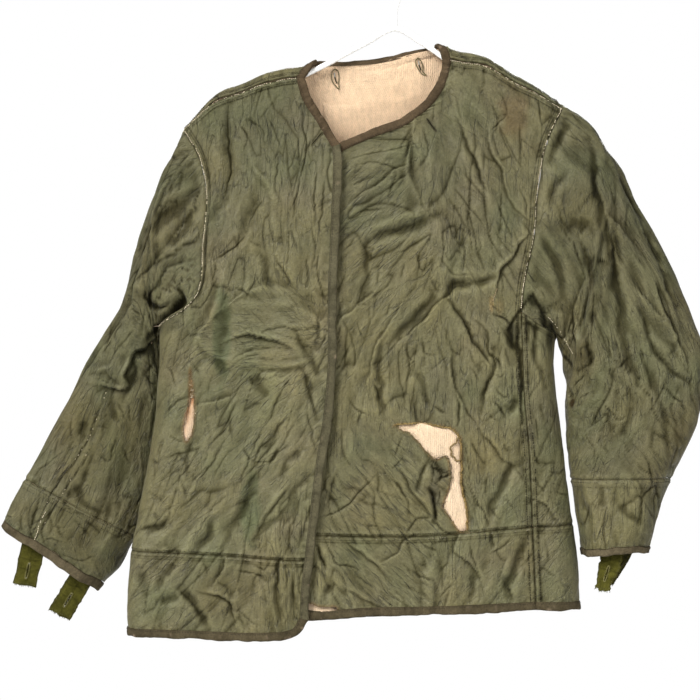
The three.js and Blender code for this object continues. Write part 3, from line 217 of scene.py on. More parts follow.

# The main folds as seen from the front: a line is a sharp crease, a soft one a trough, a rise a
# ridge, a lee a slope on the left of its run sunk a little and painted darker as shade turned from
# the light, and a fold stands up on the left of its run and drops sharply on the right. Their
# creases are painted darker as shade.
FOLDS = {
    "right_front": folds("""
        soft 4 7 -212,-185 -212,-243 -208,-270 -213,-300 -224,-321 -231,-332
        line 1.2 2 -212,-188 -211,-244 -209,-270 -214,-300
        line 0.9 2 -187,-204 -167,-218 -165,-243
        line 0.8 2 -159,-204 -151,-220 -144,-243
        line 1.6 2 -116,-192 -114,-220 -110,-243 -118,-277 -124,-309 -129,-344
        line 1 2 -146,-254 -147,-273 -150,-294 -147,-307
        line 1 2 -196,-211 -188,-226 -190,-243
        rise 1.5 4 -187,-234 -178,-264 -157,-296 -152,-316
        soft 2.5 8 -170,-294 -182,-326 -196,-360 -224,-381
        line 0.9 2 -187,-360 -169,-370
        line 1.2 2 -231,-386 -200,-369 -190,-356
        line 1 2 -96,-268 -99,-309 -98,-343
        line 1 2 -84,-277 -89,-318 -92,-356
        line 0.8 2 -107,-230 -107,-247 -103,-257
        line 0.8 2 -124,-242 -127,-260 -135,-277
        line 0.8 2 -147,-299 -140,-317 -143,-333
        line 1 2 -78,-244 -81,-277 -74,-304
        line 0.9 2 -92,-234 -87,-255 -90,-277
        line 1.3 2 -151,-385 -138,-403 -129,-421
        soft 2 6 -165,-374 -162,-407 -153,-438
        line 1 2 -111,-385 -109,-410 -113,-428
        line 1.1 2 -94,-384 -95,-404 -90,-428 -84,-441 -75,-446
        line 0.9 2 -103,-348 -98,-374 -103,-398
        line 0.9 2 -131,-351 -124,-372
        rise 1.6 4 -214,-403 -233,-460 -239,-474
        soft 1.5 6 -224,-403 -240,-463
        line 1 2 -204,-421 -182,-433
        line 0.8 2 -168,-403 -183,-426 -188,-439
        fold 2.4 9 -214,-494 -191,-484 -161,-489 -143,-495 -124,-503
        line 1.2 2 -172,-484 -143,-474 -124,-480 -118,-481
        soft 3.5 5 -125,-481 -114,-499 -103,-520 -97,-534
        line 1.6 2 -125,-481 -114,-499 -103,-520 -97,-534
        line 1.2 2 -75,-480 -99,-476 -124,-480
        fold 1.8 8 -81,-481 -86,-491 -94,-506
        line 1.2 2 -118,-526 -109,-543 -104,-571 -97,-595
        soft 1.8 5 -118,-526 -109,-543 -104,-571 -97,-595
        line 1.1 2 -120,-524 -134,-546 -151,-575 -159,-594
        line 0.9 2 -211,-524 -196,-510 -170,-499 -156,-503
        line 0.9 2 -208,-530 -191,-515 -168,-507
        fold 1.6 8 -199,-556 -214,-567 -229,-571 -254,-577
        line 1 2 -292,-588 -281,-575 -261,-563
        line 0.8 2 -261,-519 -254,-528 -247,-537
        line 0.9 2 -292,-524 -285,-540 -277,-554
        line 0.7 2 -266,-486 -254,-485 -239,-489
        soft 2.5 8 -181,-534 -161,-567
        soft 2.5 9 -214,-439 -220,-491 -221,-543
        line 1 2 -134,-585 -147,-608 -168,-629 -182,-654
        line 0.9 2 -153,-585 -176,-624 -186,-649
        line 0.8 2 -209,-597 -233,-628 -243,-653
        line 1 2 -191,-633 -186,-645 -160,-649 -143,-633
        fold 1.4 7 -86,-608 -99,-629
        line 1 2 -112,-588 -103,-615 -99,-633
        soft 1.5 5 -138,-595 -168,-637
        line 0.9 2 -199,-569 -217,-602 -229,-621
        line 1 2 -126,-602 -144,-630 -157,-650
        line 0.8 2 -291,-615 -268,-624
        line 0.9 2 -313,-645 -302,-654
        soft 1.6 5 -261,-621 -265,-646 -266,-671
        rise 1.2 3 -237,-651 -251,-673 -261,-693 -265,-701
        line 0.9 2 -217,-621 -233,-650 -256,-680
        line 1 2 -211,-636 -226,-658 -231,-670
        line 1 2 -192,-634 -185,-645 -192,-664 -195,-676
        soft 3.5 9 -172,-659 -185,-692 -194,-714 -207,-737 -213,-762
        fold 1.8 8 -181,-748 -172,-734 -152,-705 -134,-681
        soft 2.5 5 -100,-666 -126,-688 -134,-711 -164,-734 -181,-750
        soft 3 5 -118,-632 -134,-650 -142,-668
        line 1 2 -134,-627 -156,-644 -160,-654
        line 0.9 2 -203,-688 -231,-707 -248,-734 -261,-754
        soft 2.5 5 -233,-725 -237,-748 -251,-759
        soft 2 6 -317,-738 -290,-731
        line 0.8 2 -315,-688 -295,-702
        line 1 2 -148,-699 -176,-736
        line 0.9 2 -134,-724 -131,-755 -133,-772
        line 1 2 -116,-716 -118,-753 -113,-759
        line 0.9 2 -103,-699 -108,-725
        line 0.8 2 -176,-660 -187,-686
        line 0.8 2 -277,-660 -266,-699
        line 0.8 2 -285,-699 -290,-725
        soft 3 6 -281,-780 -295,-798 -300,-814
        fold 2 8 -217,-771 -218,-786 -231,-809
        soft 4 6 -273,-816 -259,-832 -248,-849 -238,-867
        line 1.2 2 -273,-819 -259,-835 -248,-850
        soft 2.5 6 -302,-832 -273,-826
        fold 1.8 7 -247,-820 -217,-826 -207,-835 -203,-861
        line 0.9 2 -202,-790 -174,-797 -159,-802
        line 1 2 -176,-785 -164,-789 -156,-779
        line 0.8 2 -199,-842 -181,-857 -170,-862
        soft 3.5 4 -148,-774 -148,-820 -144,-853 -142,-868
        line 1.4 2 -148,-774 -148,-820 -144,-853 -142,-868
        soft 3 4 -127,-798 -127,-845 -126,-862
        line 1.3 2 -127,-798 -127,-845 -126,-862
        line 1 2 -112,-777 -118,-803 -117,-829
        line 0.8 2 -138,-777 -136,-816
        line 0.8 2 -168,-810 -162,-836
        soft 2 8 -326,-790 -322,-829
        line 0.7 2 -313,-777 -326,-793
    """),
    "left_front": folds("""
        line 1 2 56,-185 54,-207
        fold 2 8 88,-207 100,-235 114,-266 124,-296
        soft 2 5 88,-207 100,-235 114,-266 124,-296
        fold 2 8 127,-222 131,-247 146,-274 150,-296 160,-318 176,-333
        line 1 2 150,-198 131,-218
        line 0.9 2 169,-296 176,-318 177,-333
        line 0.8 2 -57,-256 -20,-248 8,-244 38,-235
        line 1 2 -46,-265 -23,-261 -4,-265 16,-274
        fold 1.5 7 26,-261 6,-270 -12,-286 -39,-303 -60,-320
        line 1 2 -57,-334 -34,-324 -4,-318
        line 0.8 2 29,-213 18,-231 12,-247
        line 0.9 2 40,-214 48,-239 36,-270
        line 0.8 2 9,-264 1,-290 -4,-307
        soft 3.5 7 -31,-363 4,-350 32,-342 60,-330 79,-328
        rise 1.5 6 -25,-346 12,-333 44,-322
        line 0.9 2 0,-384 16,-374 40,-364
        line 0.8 2 96,-307 98,-326 101,-350 105,-382
        line 0.9 2 127,-334 131,-359 134,-382 138,-398
        line 0.9 2 138,-307 147,-337 156,-356
        fold 2.4 9 138,-426 142,-402 156,-384 177,-354
        soft 4.5 6 70,-438 79,-422 100,-419 134,-412
        line 0.9 2 30,-376 42,-400 48,-384
        line 1 2 64,-387 79,-406 108,-406
        soft 2.2 5 -34,-367 -31,-393 -34,-421 -39,-439
        line 1 2 -61,-374 -44,-356
        line 0.8 2 84,-179 90,-207
        line 0.8 2 -51,-291 -25,-278
        line 0.8 2 -14,-390 -20,-420
        line 0.8 2 51,-407 58,-426
        line 0.8 2 18,-390 12,-413
        line 0.8 2 113,-351 116,-381
        line 0.8 2 152,-283 157,-307
        fold 2.6 9 -26,-430 -35,-439 -46,-448 -60,-460 -68,-469
        line 1 2 -43,-448 -32,-445
        line 0.9 2 -73,-530 -65,-523
        line 0.9 2 -69,-485 -64,-472
        line 1.2 2 -43,-469 -35,-488
        line 0.9 2 -58,-476 -51,-490 -47,-508 -48,-528
        line 0.9 2 -52,-494 -66,-523
        line 1.2 2 -56,-566 -47,-578 -38,-584 -27,-589
        line 1 2 -38,-582 -44,-602
        line 0.8 2 -35,-547 -36,-580
        fold 1.8 8 13,-443 6,-460 -3,-473 -17,-491 -23,-504 -25,-523 -32,-545
        soft 3.5 5 -10,-485 -14,-499 -17,-524 -14,-547 -13,-571 -6,-594
        line 1 2 -22,-546 -13,-571
        soft 3.2 6 57,-420 51,-443 38,-455 26,-468 13,-481 -1,-494
        fold 3 9 95,-422 81,-426 73,-436 58,-446 49,-459 35,-471 26,-485 12,-491
        line 0.9 2 35,-471 34,-489
        line 0.9 2 22,-491 22,-511 30,-520 20,-528
        line 1.2 2 39,-491 47,-511 61,-511
        line 0.9 2 31,-521 25,-532 18,-545
        line 0.9 2 64,-520 52,-530
        soft 1.8 5 30,-529 38,-542 44,-559 51,-582
        line 0.9 2 30,-547 27,-571 26,-594
        fold 2.6 9 122,-516 113,-503 101,-485 95,-471 87,-456 73,-442
        soft 3 5 73,-442 87,-456 95,-471 101,-485 113,-503 122,-516
        fold 2 8 95,-580 90,-568 83,-555 79,-532 78,-508
        line 1 2 82,-555 87,-576 86,-594
        line 0.9 2 99,-503 109,-524
        line 0.9 2 57,-576 73,-588
        line 0.9 2 95,-465 109,-476
        line 0.8 2 -1,-439 -6,-459
        line 0.8 2 70,-478 74,-498
        line 0.8 2 65,-537 58,-563
        line 1 2 140,-460 151,-465 156,-471
        fold 2 8 112,-467 125,-477 127,-488 127,-506 135,-517 135,-533 127,-546 124,-559 118,-586
        soft 2.5 5 127,-488 135,-524 126,-550 118,-582
        line 1.1 2 116,-507 129,-524
        line 0.9 2 105,-528 114,-543
        line 1 2 127,-506 138,-517 143,-533
        line 1 2 133,-533 142,-541 148,-534
        line 1 2 136,-554 146,-564 152,-562
        line 1.2 2 134,-571 142,-582 147,-594
        line 1 2 130,-589 138,-597
        soft 3 5 161,-564 159,-577 153,-586
        line 1 2 88,-581 88,-597 84,-606
        soft 3.5 5 157,-473 152,-485 156,-493 164,-506
        line 0.9 2 142,-478 139,-498
        line 0.9 2 148,-498 152,-524
        fold 1.6 8 116,-608 133,-629 146,-647 159,-653
        soft 4 6 165,-653 152,-660 146,-677 136,-697 129,-719 126,-728
        line 1.2 2 110,-698 124,-722 126,-733
        line 0.9 2 146,-697 159,-711
        line 0.9 2 161,-660 174,-676
        line 0.8 2 131,-710 142,-725
        line 0.8 2 103,-621 113,-641
        line 0.8 2 126,-667 121,-693
        fold 2.4 9 13,-662 23,-679 36,-699 57,-727
        line 1.8 2 -4,-666 9,-679 20,-694 22,-715 31,-724
        line 1.4 2 20,-744 35,-724 51,-722
        line 1 2 1,-659 14,-647
        soft 2.5 3 46,-650 36,-676 34,-689
        line 1 2 56,-576 69,-588
        line 1.2 2 88,-569 88,-604
        line 1.2 2 95,-580 112,-602
        line 0.8 2 -14,-682 0,-699
        line 1.2 2 -21,-667 -35,-684 -72,-716 -94,-723
        line 1 2 12,-621 5,-641
        soft 5 3 51,-685 56,-699 58,-714 58,-728
        line 1.8 2 53,-655 66,-664 66,-672 60,-680
        line 1.6 2 66,-672 77,-664
        line 1.6 2 48,-641 56,-660 53,-680
        line 1.6 2 58,-645 64,-655
        line 1.4 2 56,-727 68,-738 77,-744
        fold 1.8 7 130,-742 134,-759
        line 1.1 2 129,-770 143,-759 159,-749
        soft 4 6 173,-750 161,-789 151,-811 152,-823
        fold 1.6 7 152,-811 160,-829
        fold 1.8 8 87,-748 81,-766 95,-775 109,-789 118,-811
        line 1.2 2 100,-755 107,-775 116,-802
        soft 2 4 107,-794 104,-829
        line 1 2 64,-826 79,-809
        line 0.9 2 64,-794 77,-781
        soft 3.5 3 -98,-760 -84,-789
        line 1.6 2 -98,-760 -84,-789
        line 1.3 2 -87,-749 -79,-767 -69,-784 -53,-785 -42,-790
        fold 1.6 8 -56,-754 -35,-771 -14,-789 0,-805
        fold 1.6 8 -62,-811 -43,-822 -23,-833 -6,-840
        soft 2.5 5 -77,-810 -84,-823
        fold 1.3 7 29,-748 14,-755 10,-770 -12,-780
        line 1 2 21,-789 38,-798 55,-806
        line 0.9 2 38,-816 53,-829
        line 0.9 2 5,-816 18,-833
        line 0.8 2 -47,-797 -30,-810
        soft 2 7 64,-751 48,-777 31,-803
        line 0.8 2 44,-758 64,-767
        line 0.9 2 14,-783 27,-796
    """),
    "side": folds("""
        soft 3 4 191,-460 188,-493 190,-520 196,-533 202,-552
        line 1 2 178,-572 183,-559 196,-540
        line 1 2 186,-589 191,-606 190,-621
        line 1.2 2 183,-629 192,-653
        line 0.9 2 185,-646 194,-654
        line 1 2 203,-660 220,-667 228,-654
        fold 1.4 7 185,-698 195,-701 214,-719 221,-729
        line 0.9 2 217,-688 229,-693
        line 0.9 2 195,-788 212,-797
        line 0.8 2 194,-576 200,-602
        line 0.8 2 209,-569 214,-595
        soft 2 5 181,-463 177,-498
        line 0.8 2 200,-751 204,-777
        line 0.8 2 187,-673 200,-686
        line 0.8 2 228,-797 230,-819
    """),
    "right_sleeve": folds("""
        soft 4 10 -242,-283 -266,-307 -290,-330 -315,-348 -326,-368
        line 1.2 2 -260,-246 -274,-265 -295,-286
        line 0.8 2 -254,-257 -264,-270
        line 1.4 1.4 -369,-556 -382,-590 -394,-621 -437,-684 -467,-744
        line 1.3 1.4 -387,-625 -404,-655 -422,-682 -464,-753
        lee 3 12 -322,-410 -291,-371 -265,-335 -244,-318
        lee 2.5 14 -450,-621 -430,-585 -402,-537 -378,-504 -352,-465 -333,-416 -313,-338 -294,-264
        fold 3 9 -299,-387 -285,-378 -268,-367 -254,-360 -244,-332
        soft 2.5 5 -260,-326 -273,-356 -290,-373
        line 1.4 2 -278,-374 -300,-389 -325,-407 -342,-425
        fold 2 8 -255,-387 -278,-393 -295,-406 -303,-421
        line 1.2 2 -289,-398 -300,-410
        soft 3 4 -306,-421 -312,-428 -313,-441 -307,-450 -295,-447 -289,-441
        line 1.6 2 -306,-421 -312,-428 -313,-441 -307,-450 -295,-447 -289,-441
        line 1.4 2 -303,-424 -294,-425 -285,-430
        line 1.4 2 -291,-421 -285,-429
        line 1.4 2 -285,-412 -277,-417 -269,-412
        line 1 2 -308,-436 -295,-439
        line 1 2 -303,-441 -300,-429
        soft 8 4 -273,-430 -270,-441 -277,-447 -287,-456 -299,-474
        line 1.5 2 -260,-411 -255,-417 -252,-429
        line 1.4 2 -265,-412 -260,-422 -264,-430
        line 1.2 2 -274,-398 -261,-403
        line 1.2 2 -270,-403 -277,-426
        fold 6 14 -367,-554 -350,-558 -344,-554 -346,-537 -342,-524 -333,-508 -317,-500 -300,-481
        soft 3 5 -338,-512 -333,-533 -342,-554
        rise 1.5 3 -385,-533 -373,-528 -361,-529
        line 1.2 2 -358,-572 -344,-593
        soft 2 4 -363,-569 -360,-588 -355,-597
        line 1 2 -343,-573 -337,-597
        line 1 2 -381,-602 -369,-606
        line 1.2 2 -374,-543 -363,-551
        line 1 2 -337,-450 -325,-458
        line 1 2 -350,-463 -339,-439
        line 1 2 -361,-489 -350,-468
        line 0.9 2 -372,-507 -365,-489
        line 1 2 -355,-498 -334,-478
        soft 2 6 -344,-434 -355,-463 -368,-491
        line 0.8 2 -320,-452 -322,-472
        line 0.8 2 -313,-459 -311,-476
        soft 2.2 5 -396,-595 -404,-621
        line 1 2 -415,-593 -417,-621
        line 0.9 2 -433,-621 -438,-641
        line 0.9 2 -355,-621 -365,-641
        line 0.9 2 -347,-634 -339,-650
        line 1 2 -430,-699 -415,-712 -398,-723
        soft 2.5 5 -411,-680 -398,-706 -378,-719
        line 1 2 -436,-732 -426,-748
        line 0.9 2 -458,-758 -443,-751 -430,-754
        line 0.9 2 -428,-771 -404,-777 -384,-772
        soft 2 4 -365,-706 -372,-732
        line 0.9 2 -412,-725 -391,-745
        line 0.8 2 -398,-728 -378,-741
        line 0.8 2 -482,-719 -478,-738
        line 0.9 2 -378,-641 -368,-650 -359,-641
        line 0.9 2 -361,-628 -363,-647
        soft 2 4 -394,-660 -402,-676
    """),
    "left_sleeve": folds("""
        fold 2.2 8 313,-365 285,-329
        lee 3 10 304,-456 294,-404 291,-370 276,-318 269,-296 268,-257 261,-231
        lee 2 16 268,-238 290,-261 311,-308 337,-361 360,-426 376,-478
        soft 2.5 4 230,-214 220,-229 207,-247 200,-264
        soft 2.5 4 229,-273 209,-299 206,-315
        line 0.9 2 313,-365 318,-361
        line 1.2 2 307,-368 333,-400
        line 1.5 2 217,-338 234,-365 250,-399 251,-415
        fold 1.6 8 246,-363 255,-377 285,-391
        rise 2.5 6 287,-391 277,-425 268,-478
        soft 4.5 6 291,-346 295,-385 292,-415 302,-445 306,-478
        soft 2 5 264,-246 265,-286 273,-335 280,-361
        fold 1.6 8 359,-471 337,-445 313,-415
        fold 1.8 8 367,-478 352,-445 343,-419
        soft 2.5 6 280,-246 313,-302 348,-385 373,-445
        soft 2.5 6 225,-214 217,-234 205,-256
        soft 3 5 194,-355 209,-381 220,-406 224,-436
        fold 2.4 9 250,-415 238,-459 239,-478 240,-512
        line 1.2 2 264,-425 261,-478 263,-498
        soft 2.5 8 228,-338 259,-346
        line 0.8 2 254,-343 239,-356
        soft 3 6 296,-452 300,-484 313,-525 324,-547
        soft 2.5 4 325,-452 338,-494 363,-529 390,-550
        line 1.3 2 325,-452 338,-494 363,-529 390,-550
        fold 1.6 8 384,-532 380,-511 370,-484 354,-452
        line 1.1 2 346,-546 367,-562 381,-581
        soft 1.8 5 332,-525 348,-567 356,-603 359,-638 356,-659
        line 0.9 2 359,-571 370,-598 377,-610
        line 1 2 317,-542 338,-568 342,-585 354,-608
        line 1.2 2 276,-571 287,-585 296,-595 304,-589
        soft 2.2 6 313,-571 303,-610 292,-619
        line 0.9 2 272,-629 282,-638
        line 1.1 2 335,-651 338,-673 337,-690
        soft 2.2 6 246,-690 259,-742 255,-759
        soft 1.8 5 272,-680 276,-711
        soft 1.8 6 292,-701 311,-719 329,-732
        line 0.8 2 263,-575 273,-568
        line 0.9 2 235,-478 240,-498
        line 1 2 246,-504 259,-498 265,-500
        soft 6 2.5 259,-504 261,-515 257,-525
        line 1 2 243,-533 256,-524
        soft 3 3 228,-543 235,-569
        line 1 2 239,-550 252,-537
        line 0.9 2 246,-567 261,-559
        line 0.8 2 324,-504 330,-524
        line 0.8 2 350,-498 360,-517
        line 0.8 2 300,-621 311,-641
    """),
}
# Deep gaps between layers of cloth, which seams don't flatten, painted dark as shadow.
GAPS = {
    "right_sleeve": folds("""
        gap 3.5 5 -272,-428 -279,-443 -293,-461 -303,-477 -316,-493 -327,-507
        gap 2 2.5 -318,-425 -320,-437 -313,-444 -304,-445
        gap 1.5 2 -291,-418 -281,-423 -272,-430
    """),
    "left_sleeve": folds("""
        gap 3 2.6 183,-428 189,-443 198,-457 202,-472 206,-489 215,-507
        gap 2.5 2.4 186,-429 180,-436 174,-443 168,-455
        gap 1.5 1.5 203,-458 210,-474 220,-492 230,-512
        line 1.5 1.3 207,-462 218,-482 229,-503
        line 1.3 1.2 203,-463 213,-484 224,-504
        line 1.5 1.5 200,-440 196,-428 186,-420
        gap 2 3 222,-508 230,-519 236,-530
        gap 0.8 1.6 252,-496 258,-509 255,-522
        gap 0.6 1.3 244,-508 251,-516
    """),
    "front": folds("""
        gap 3 2.2 172,-446 166,-458 159,-468 152,-479
        gap 3 2.2 168,-455 166,-484 168,-528 171,-600
        line 1.4 1.4 137,-430 131,-447 137,-452 150,-460 158,-468
        gap 1.5 2.2 153,-476 159,-490 163,-508
        gap 1.2 2.6 186,-446 188,-466 187,-486
        gap 1.8 2 50,-682 53,-694 57,-708 60,-722
        line 1.5 1.5 60,-720 62,-732 68,-736
        gap 1 1.3 50,-644 60,-653 72,-662
        gap 1 1.3 53,-655 64,-658 69,-664 75,-660
        gap 0.9 1.2 59,-673 67,-670 74,-664
        gap 0.9 1.2 61,-684 62,-692 63,-703
        gap 0.8 1.5 132,-457 146,-463 156,-470
    """),
}
# Faded, greened, rusted and soiled places, and patches of painted shade (mostly under the arms and on
# the sleeves) and of painted light: their middles, half sizes and the factor on the dye there.
STAINS_AND_SHADE = table("""
    x z rx rz red green blue
    -220 -487 12 64 0.72 0.84 0.8
    -183 -706 14 48 0.74 0.86 0.8
    160 -195 20 34 0.96 0.82 0.76
    184 -440 5 7 0.45 0.45 0.43
    197 -461 4.6 14 0.3 0.3 0.28
    206 -492 5 20 0.58 0.58 0.55
    158 -500 8 30 0.66 0.66 0.66
    213 -484 5 16 0.74 0.72 0.68
    226 -504 6 14 0.7 0.68 0.64
    131 -446 3.6 11 1.8 1.5 1.25
    141 -449 6 12 1.16 1.05 0.92
    -165 -280 80 90 0.93 0.93 0.93
    -190 -820 90 46 0.9 0.9 0.9
    -325 -340 60 110 0.97 0.97 0.98
    272 -325 66 120 0.77 0.78 0.8
    294 -715 54 46 1.17 1.18 1.12
    -400 -740 64 42 0.92 0.93 0.9
    -385 -622 54 56 0.92 0.92 0.82
    236 -573 3.5 7 0.34 0.24 0.16
    180 -437 10 6 0.74 0.74 0.74
    191 -444 9 6 0.72 0.72 0.72
    194 -470 20 40 0.84 0.87 0.88
    300 -600 70 100 0.95 0.95 0.92
    -290 -268 34 16 0.84 0.83 0.82
    262 -420 20 50 0.86 0.85 0.82
    -150 -560 34 60 1.12 1.08 1.02
    60 -540 40 50 0.92 0.94 0.96
    -30 -700 30 60 1.08 1.05 1
    120 -620 22 60 1.1 1.06 1.02
    150 -330 20 60 0.9 0.93 0.95
    -55 -380 26 60 0.9 0.9 0.92
    -150 -215 90 60 0.88 0.88 0.9
    60 -280 110 90 0.9 0.9 0.92
    62 -660 13 18 0.64 0.65 0.74
    56 -690 9 22 0.66 0.68 0.78
    207 -484 6 18 0.48 0.48 0.46
    219 -508 6 14 0.52 0.52 0.5
    250 -512 14 20 0.66 0.64 0.62
    158 -480 9 14 0.52 0.52 0.55
    -290 -470 14 16 0.62 0.62 0.62
    -322 -500 16 14 0.6 0.6 0.6
    -261 -549 3.6 20 0.92 0.62 0.42
""")


# ---- Curves ----
def unit(v):
    return v / np.maximum(np.linalg.norm(v, axis=-1, keepdims=True), 1e-9)


def smoothstep(start, end, value):
    t = np.clip((value - start) / (end - start), 0, 1)
    return t * t * (3 - 2 * t)


def hump(away, width):
    return np.exp(-((away / width) ** 2))


def length_of(line):
    return np.linalg.norm(np.diff(np.array(line, float), axis=0), axis=1).sum()


# How far along a line each of its spots lies.
def lengths_along(line):
    return np.concatenate([[0], np.cumsum(np.linalg.norm(np.diff(line, axis=0), axis=1))])


# A smooth curve through values at rising keys.
def hermite(keys, values, at):
    keys, values, at = (np.asarray(a, float) for a in (keys, values, at))
    at = np.clip(at, keys[0], keys[-1])
    i = np.clip(np.searchsorted(keys, at) - 1, 0, len(keys) - 2)
    more = (1,) * (values.ndim - 1)
    step = np.diff(keys)
    slopes = np.diff(values, axis=0) / step.reshape(-1, *more)
    ranks = np.arange(len(keys))
    tangents = (slopes[np.maximum(ranks - 1, 0)] + slopes[np.minimum(ranks, len(keys) - 2)]) / 2
    t = np.reshape((at - keys[i]) / step[i], (*at.shape, *more))
    span = np.reshape(step[i], (*at.shape, *more))
    bend = (2 * t - 3) * t * t
    ends = values[i] * (1 + bend) - values[i + 1] * bend
    return ends + span * (tangents[i] * (t - 1) ** 2 * t + tangents[i + 1] * (t - 1) * t * t)


def through(line):
    line = np.array(line, float)
    lengths = lengths_along(line)
    return lambda t: hermite(lengths, line, np.asarray(t, float) * lengths[-1])


def joined(curves, shares):
    starts = np.concatenate([[0], np.cumsum(shares)])

    def at(t):
        t = np.asarray(t, float)
        which = np.searchsorted(starts[1:-1], t)
        parts = [c((t - starts[i]) / (starts[i + 1] - starts[i])) for i, c in enumerate(curves)]
        return np.choose(which[..., None], parts)

    return at


def backwards(curve):
    return lambda t: curve(1 - np.asarray(t, float))


def shares_to(share):
    return [share, 1 - share]


# A grid of rings, with each ring's first spot again at its end.
def closed_loop(points):
    return np.concatenate([points, points[:, :1]], 1)


# ---- The body's surface ----
def ridge(x):
    return hermite(*np.array(RIDGE).T, x)


def section_at(z):
    s = {k: hermite(SECTIONS["z"], SECTIONS[k], z) for k in ("left", "right", "depth", "bulge")}
    s["turn"] = (SIDE_ROLL + s["depth"]) / 2
    s["flat"] = s["right"] - s["left"] - 2 * SIDE_ROLL
    s["girth"] = 2 * (s["flat"] + math.pi * s["turn"])
    return s


def girth_at(x, z, face="front"):
    s = section_at(z)
    past_right = np.clip((x - s["right"] + SIDE_ROLL) / SIDE_ROLL, 0, 1)
    past_left = np.clip((s["left"] + SIDE_ROLL - x) / SIDE_ROLL, 0, 1)
    on_flat = np.clip(x, s["left"] + SIDE_ROLL, s["right"] - SIDE_ROLL)
    turned = s["turn"] * (np.arcsin(past_right) - np.arcsin(past_left))
    if face == "front":
        return on_flat + turned
    return 2 * (s["right"] - SIDE_ROLL) + math.pi * s["turn"] - on_flat - turned


def left_edge_girth(z):
    s = section_at(z)
    return s["left"] + SIDE_ROLL - s["turn"] * math.pi / 2


def shoulder_height(x, drop, over):
    angle = np.arcsin(1 - drop / SHOULDER_ROLL)
    return ridge(x) - SHOULDER_ROLL + SHOULDER_TURN * (math.pi - angle if over else angle)


def body_point(g, h):
    s = section_at(h)
    right_start, left_start = s["right"] - SIDE_ROLL, s["left"] + SIDE_ROLL
    turned = g - right_start
    back = turned - math.pi * s["turn"]
    past = math.pi - (back - s["flat"]) / s["turn"]
    before = (left_start - g) / s["turn"]
    cases = [back > s["flat"], back > 0, g > right_start, g < left_start]
    turning = [
        left_start - SIDE_ROLL * np.sin(past),
        right_start - back,
        right_start + SIDE_ROLL * np.sin(turned / s["turn"]),
        left_start - SIDE_ROLL * np.sin(before),
    ]
    x = np.select(cases, turning, g)
    turning = [np.cos(past), -1 + 0 * g, np.cos(turned / s["turn"]), np.cos(before)]
    facing = np.select(cases, turning, 1.0)
    roll_start = ridge(x) - SHOULDER_ROLL
    angle = np.maximum(0, h - roll_start) / SHOULDER_TURN
    over = angle > math.pi
    on = (angle > 0) & ~over
    z = np.where(over, 2 * roll_start + math.pi * SHOULDER_TURN - h, h)
    z = np.where(on, roll_start + SHOULDER_ROLL * np.sin(angle), z)
    facing = np.where(over, -facing, np.where(on, facing * np.cos(angle), facing))
    fullness = smoothstep(0, SHOULDER_FALL, roll_start - z)
    across = (2 * x - s["left"] - s["right"]) / (s["right"] - s["left"])
    depth = s["depth"] + s["bulge"] * (1 - across**2)
    return np.stack([x, -facing * (SHOULDER_DEPTH + (depth - SHOULDER_DEPTH) * fullness), z], -1)


def right_edge_at(h):
    edge = np.array(RIGHT_EDGE)
    return hermite(edge[:, 1], edge[:, 0], h)


# The right front lies over the left one, a little off the body's own surface near its edge.
def right_front_point(g, h):
    point = body_point(g, h)
    edge = right_edge_at(h)
    near = smoothstep(edge - 85, edge - 30, point[..., 0])
    point[..., 1] -= OVERLAP_LIFT * near * smoothstep(-190, -250, h)
    return point


# ---- Seam lines on the chart ----
def on_chart(line, face="front"):
    return [(float(girth_at(x, z, face)), z) for x, z in line]


def shoulder_seam(side, face):
    x_at, drop = np.array(SHOULDER_SEAMS[side]).T
    line = []
    for x in np.linspace(x_at[0], x_at[-1], 9):
        apart = (1.5 if face == "front" else -1.5) * SEAM_GAP
        h = shoulder_height(x, hermite(x_at, drop, x) + apart, face == "back")
        line.append((float(girth_at(x, h, face)), float(h)))
    return line


def right_side_spot(z):
    return float(left_edge_girth(z)) - SEAM_BEHIND, z


def same_on_back(spot):
    return spot[0] + float(section_at(spot[1])["girth"]), spot[1]


def right_side(low, high):
    def at(t):
        z = low + (high - low) * np.asarray(t, float)
        return np.stack([left_edge_girth(z) - SEAM_BEHIND, z], -1)

    return at


def on_back(curve):
    def at(t):
        line = curve(t)
        return np.stack([line[..., 0] + section_at(line[..., 1])["girth"], line[..., 1]], -1)

    return at


def on_right_edge(z):
    return float(girth_at(section_at(z)["right"], z)), z


right_top = {face: shoulder_seam("right", face) for face in ("front", "back")}
left_top = {face: shoulder_seam("left", face) for face in ("front", "back")}
left_low = on_right_edge(LEFT_ARMHOLE["low"])
left_corner = LEFT_SIDE_SEAM[-1]

# ---- Grids ----
# Each piece has the part's own rows and columns, each of them divided as finely as FINE says.
ROWS = {"below_arm": 6, "below_neck": 9, "upper": 14, "band": 3}
COLUMNS = {"front": 7, "back": 24, "strip": 2}
BACK_TOP = (7, 3, 4, 3, 7)  # the back's columns under each part of its top
FINE = {"rows": 26, "band": 20, "right": 21, "left": 24, "back": 7, "strip": 14}


def finer(knots, times):
    count = (len(knots) - 1) * times
    return np.interp(np.arange(count + 1) / times, np.arange(len(knots)), knots)


FRONT_KNOTS = np.linspace(0, 1, ROWS["upper"] + 1)
BACK_KNOTS = np.concatenate([np.linspace(0, 0.93, 11), np.linspace(0.93, 1, 5)[1:]])
SIDES = shares_to(FRONT_KNOTS[ROWS["below_arm"]])
EDGES = shares_to(FRONT_KNOTS[ROWS["below_neck"]])
BACK_SIDES = shares_to(BACK_KNOTS[ROWS["below_arm"]])
ARM_ROW = ROWS["below_arm"] * FINE["rows"]
NECK_ROW = ROWS["below_neck"] * FINE["rows"]
NECK_COLUMNS = (BACK_TOP[0] * FINE["back"], sum(BACK_TOP[:-1]) * FINE["back"])

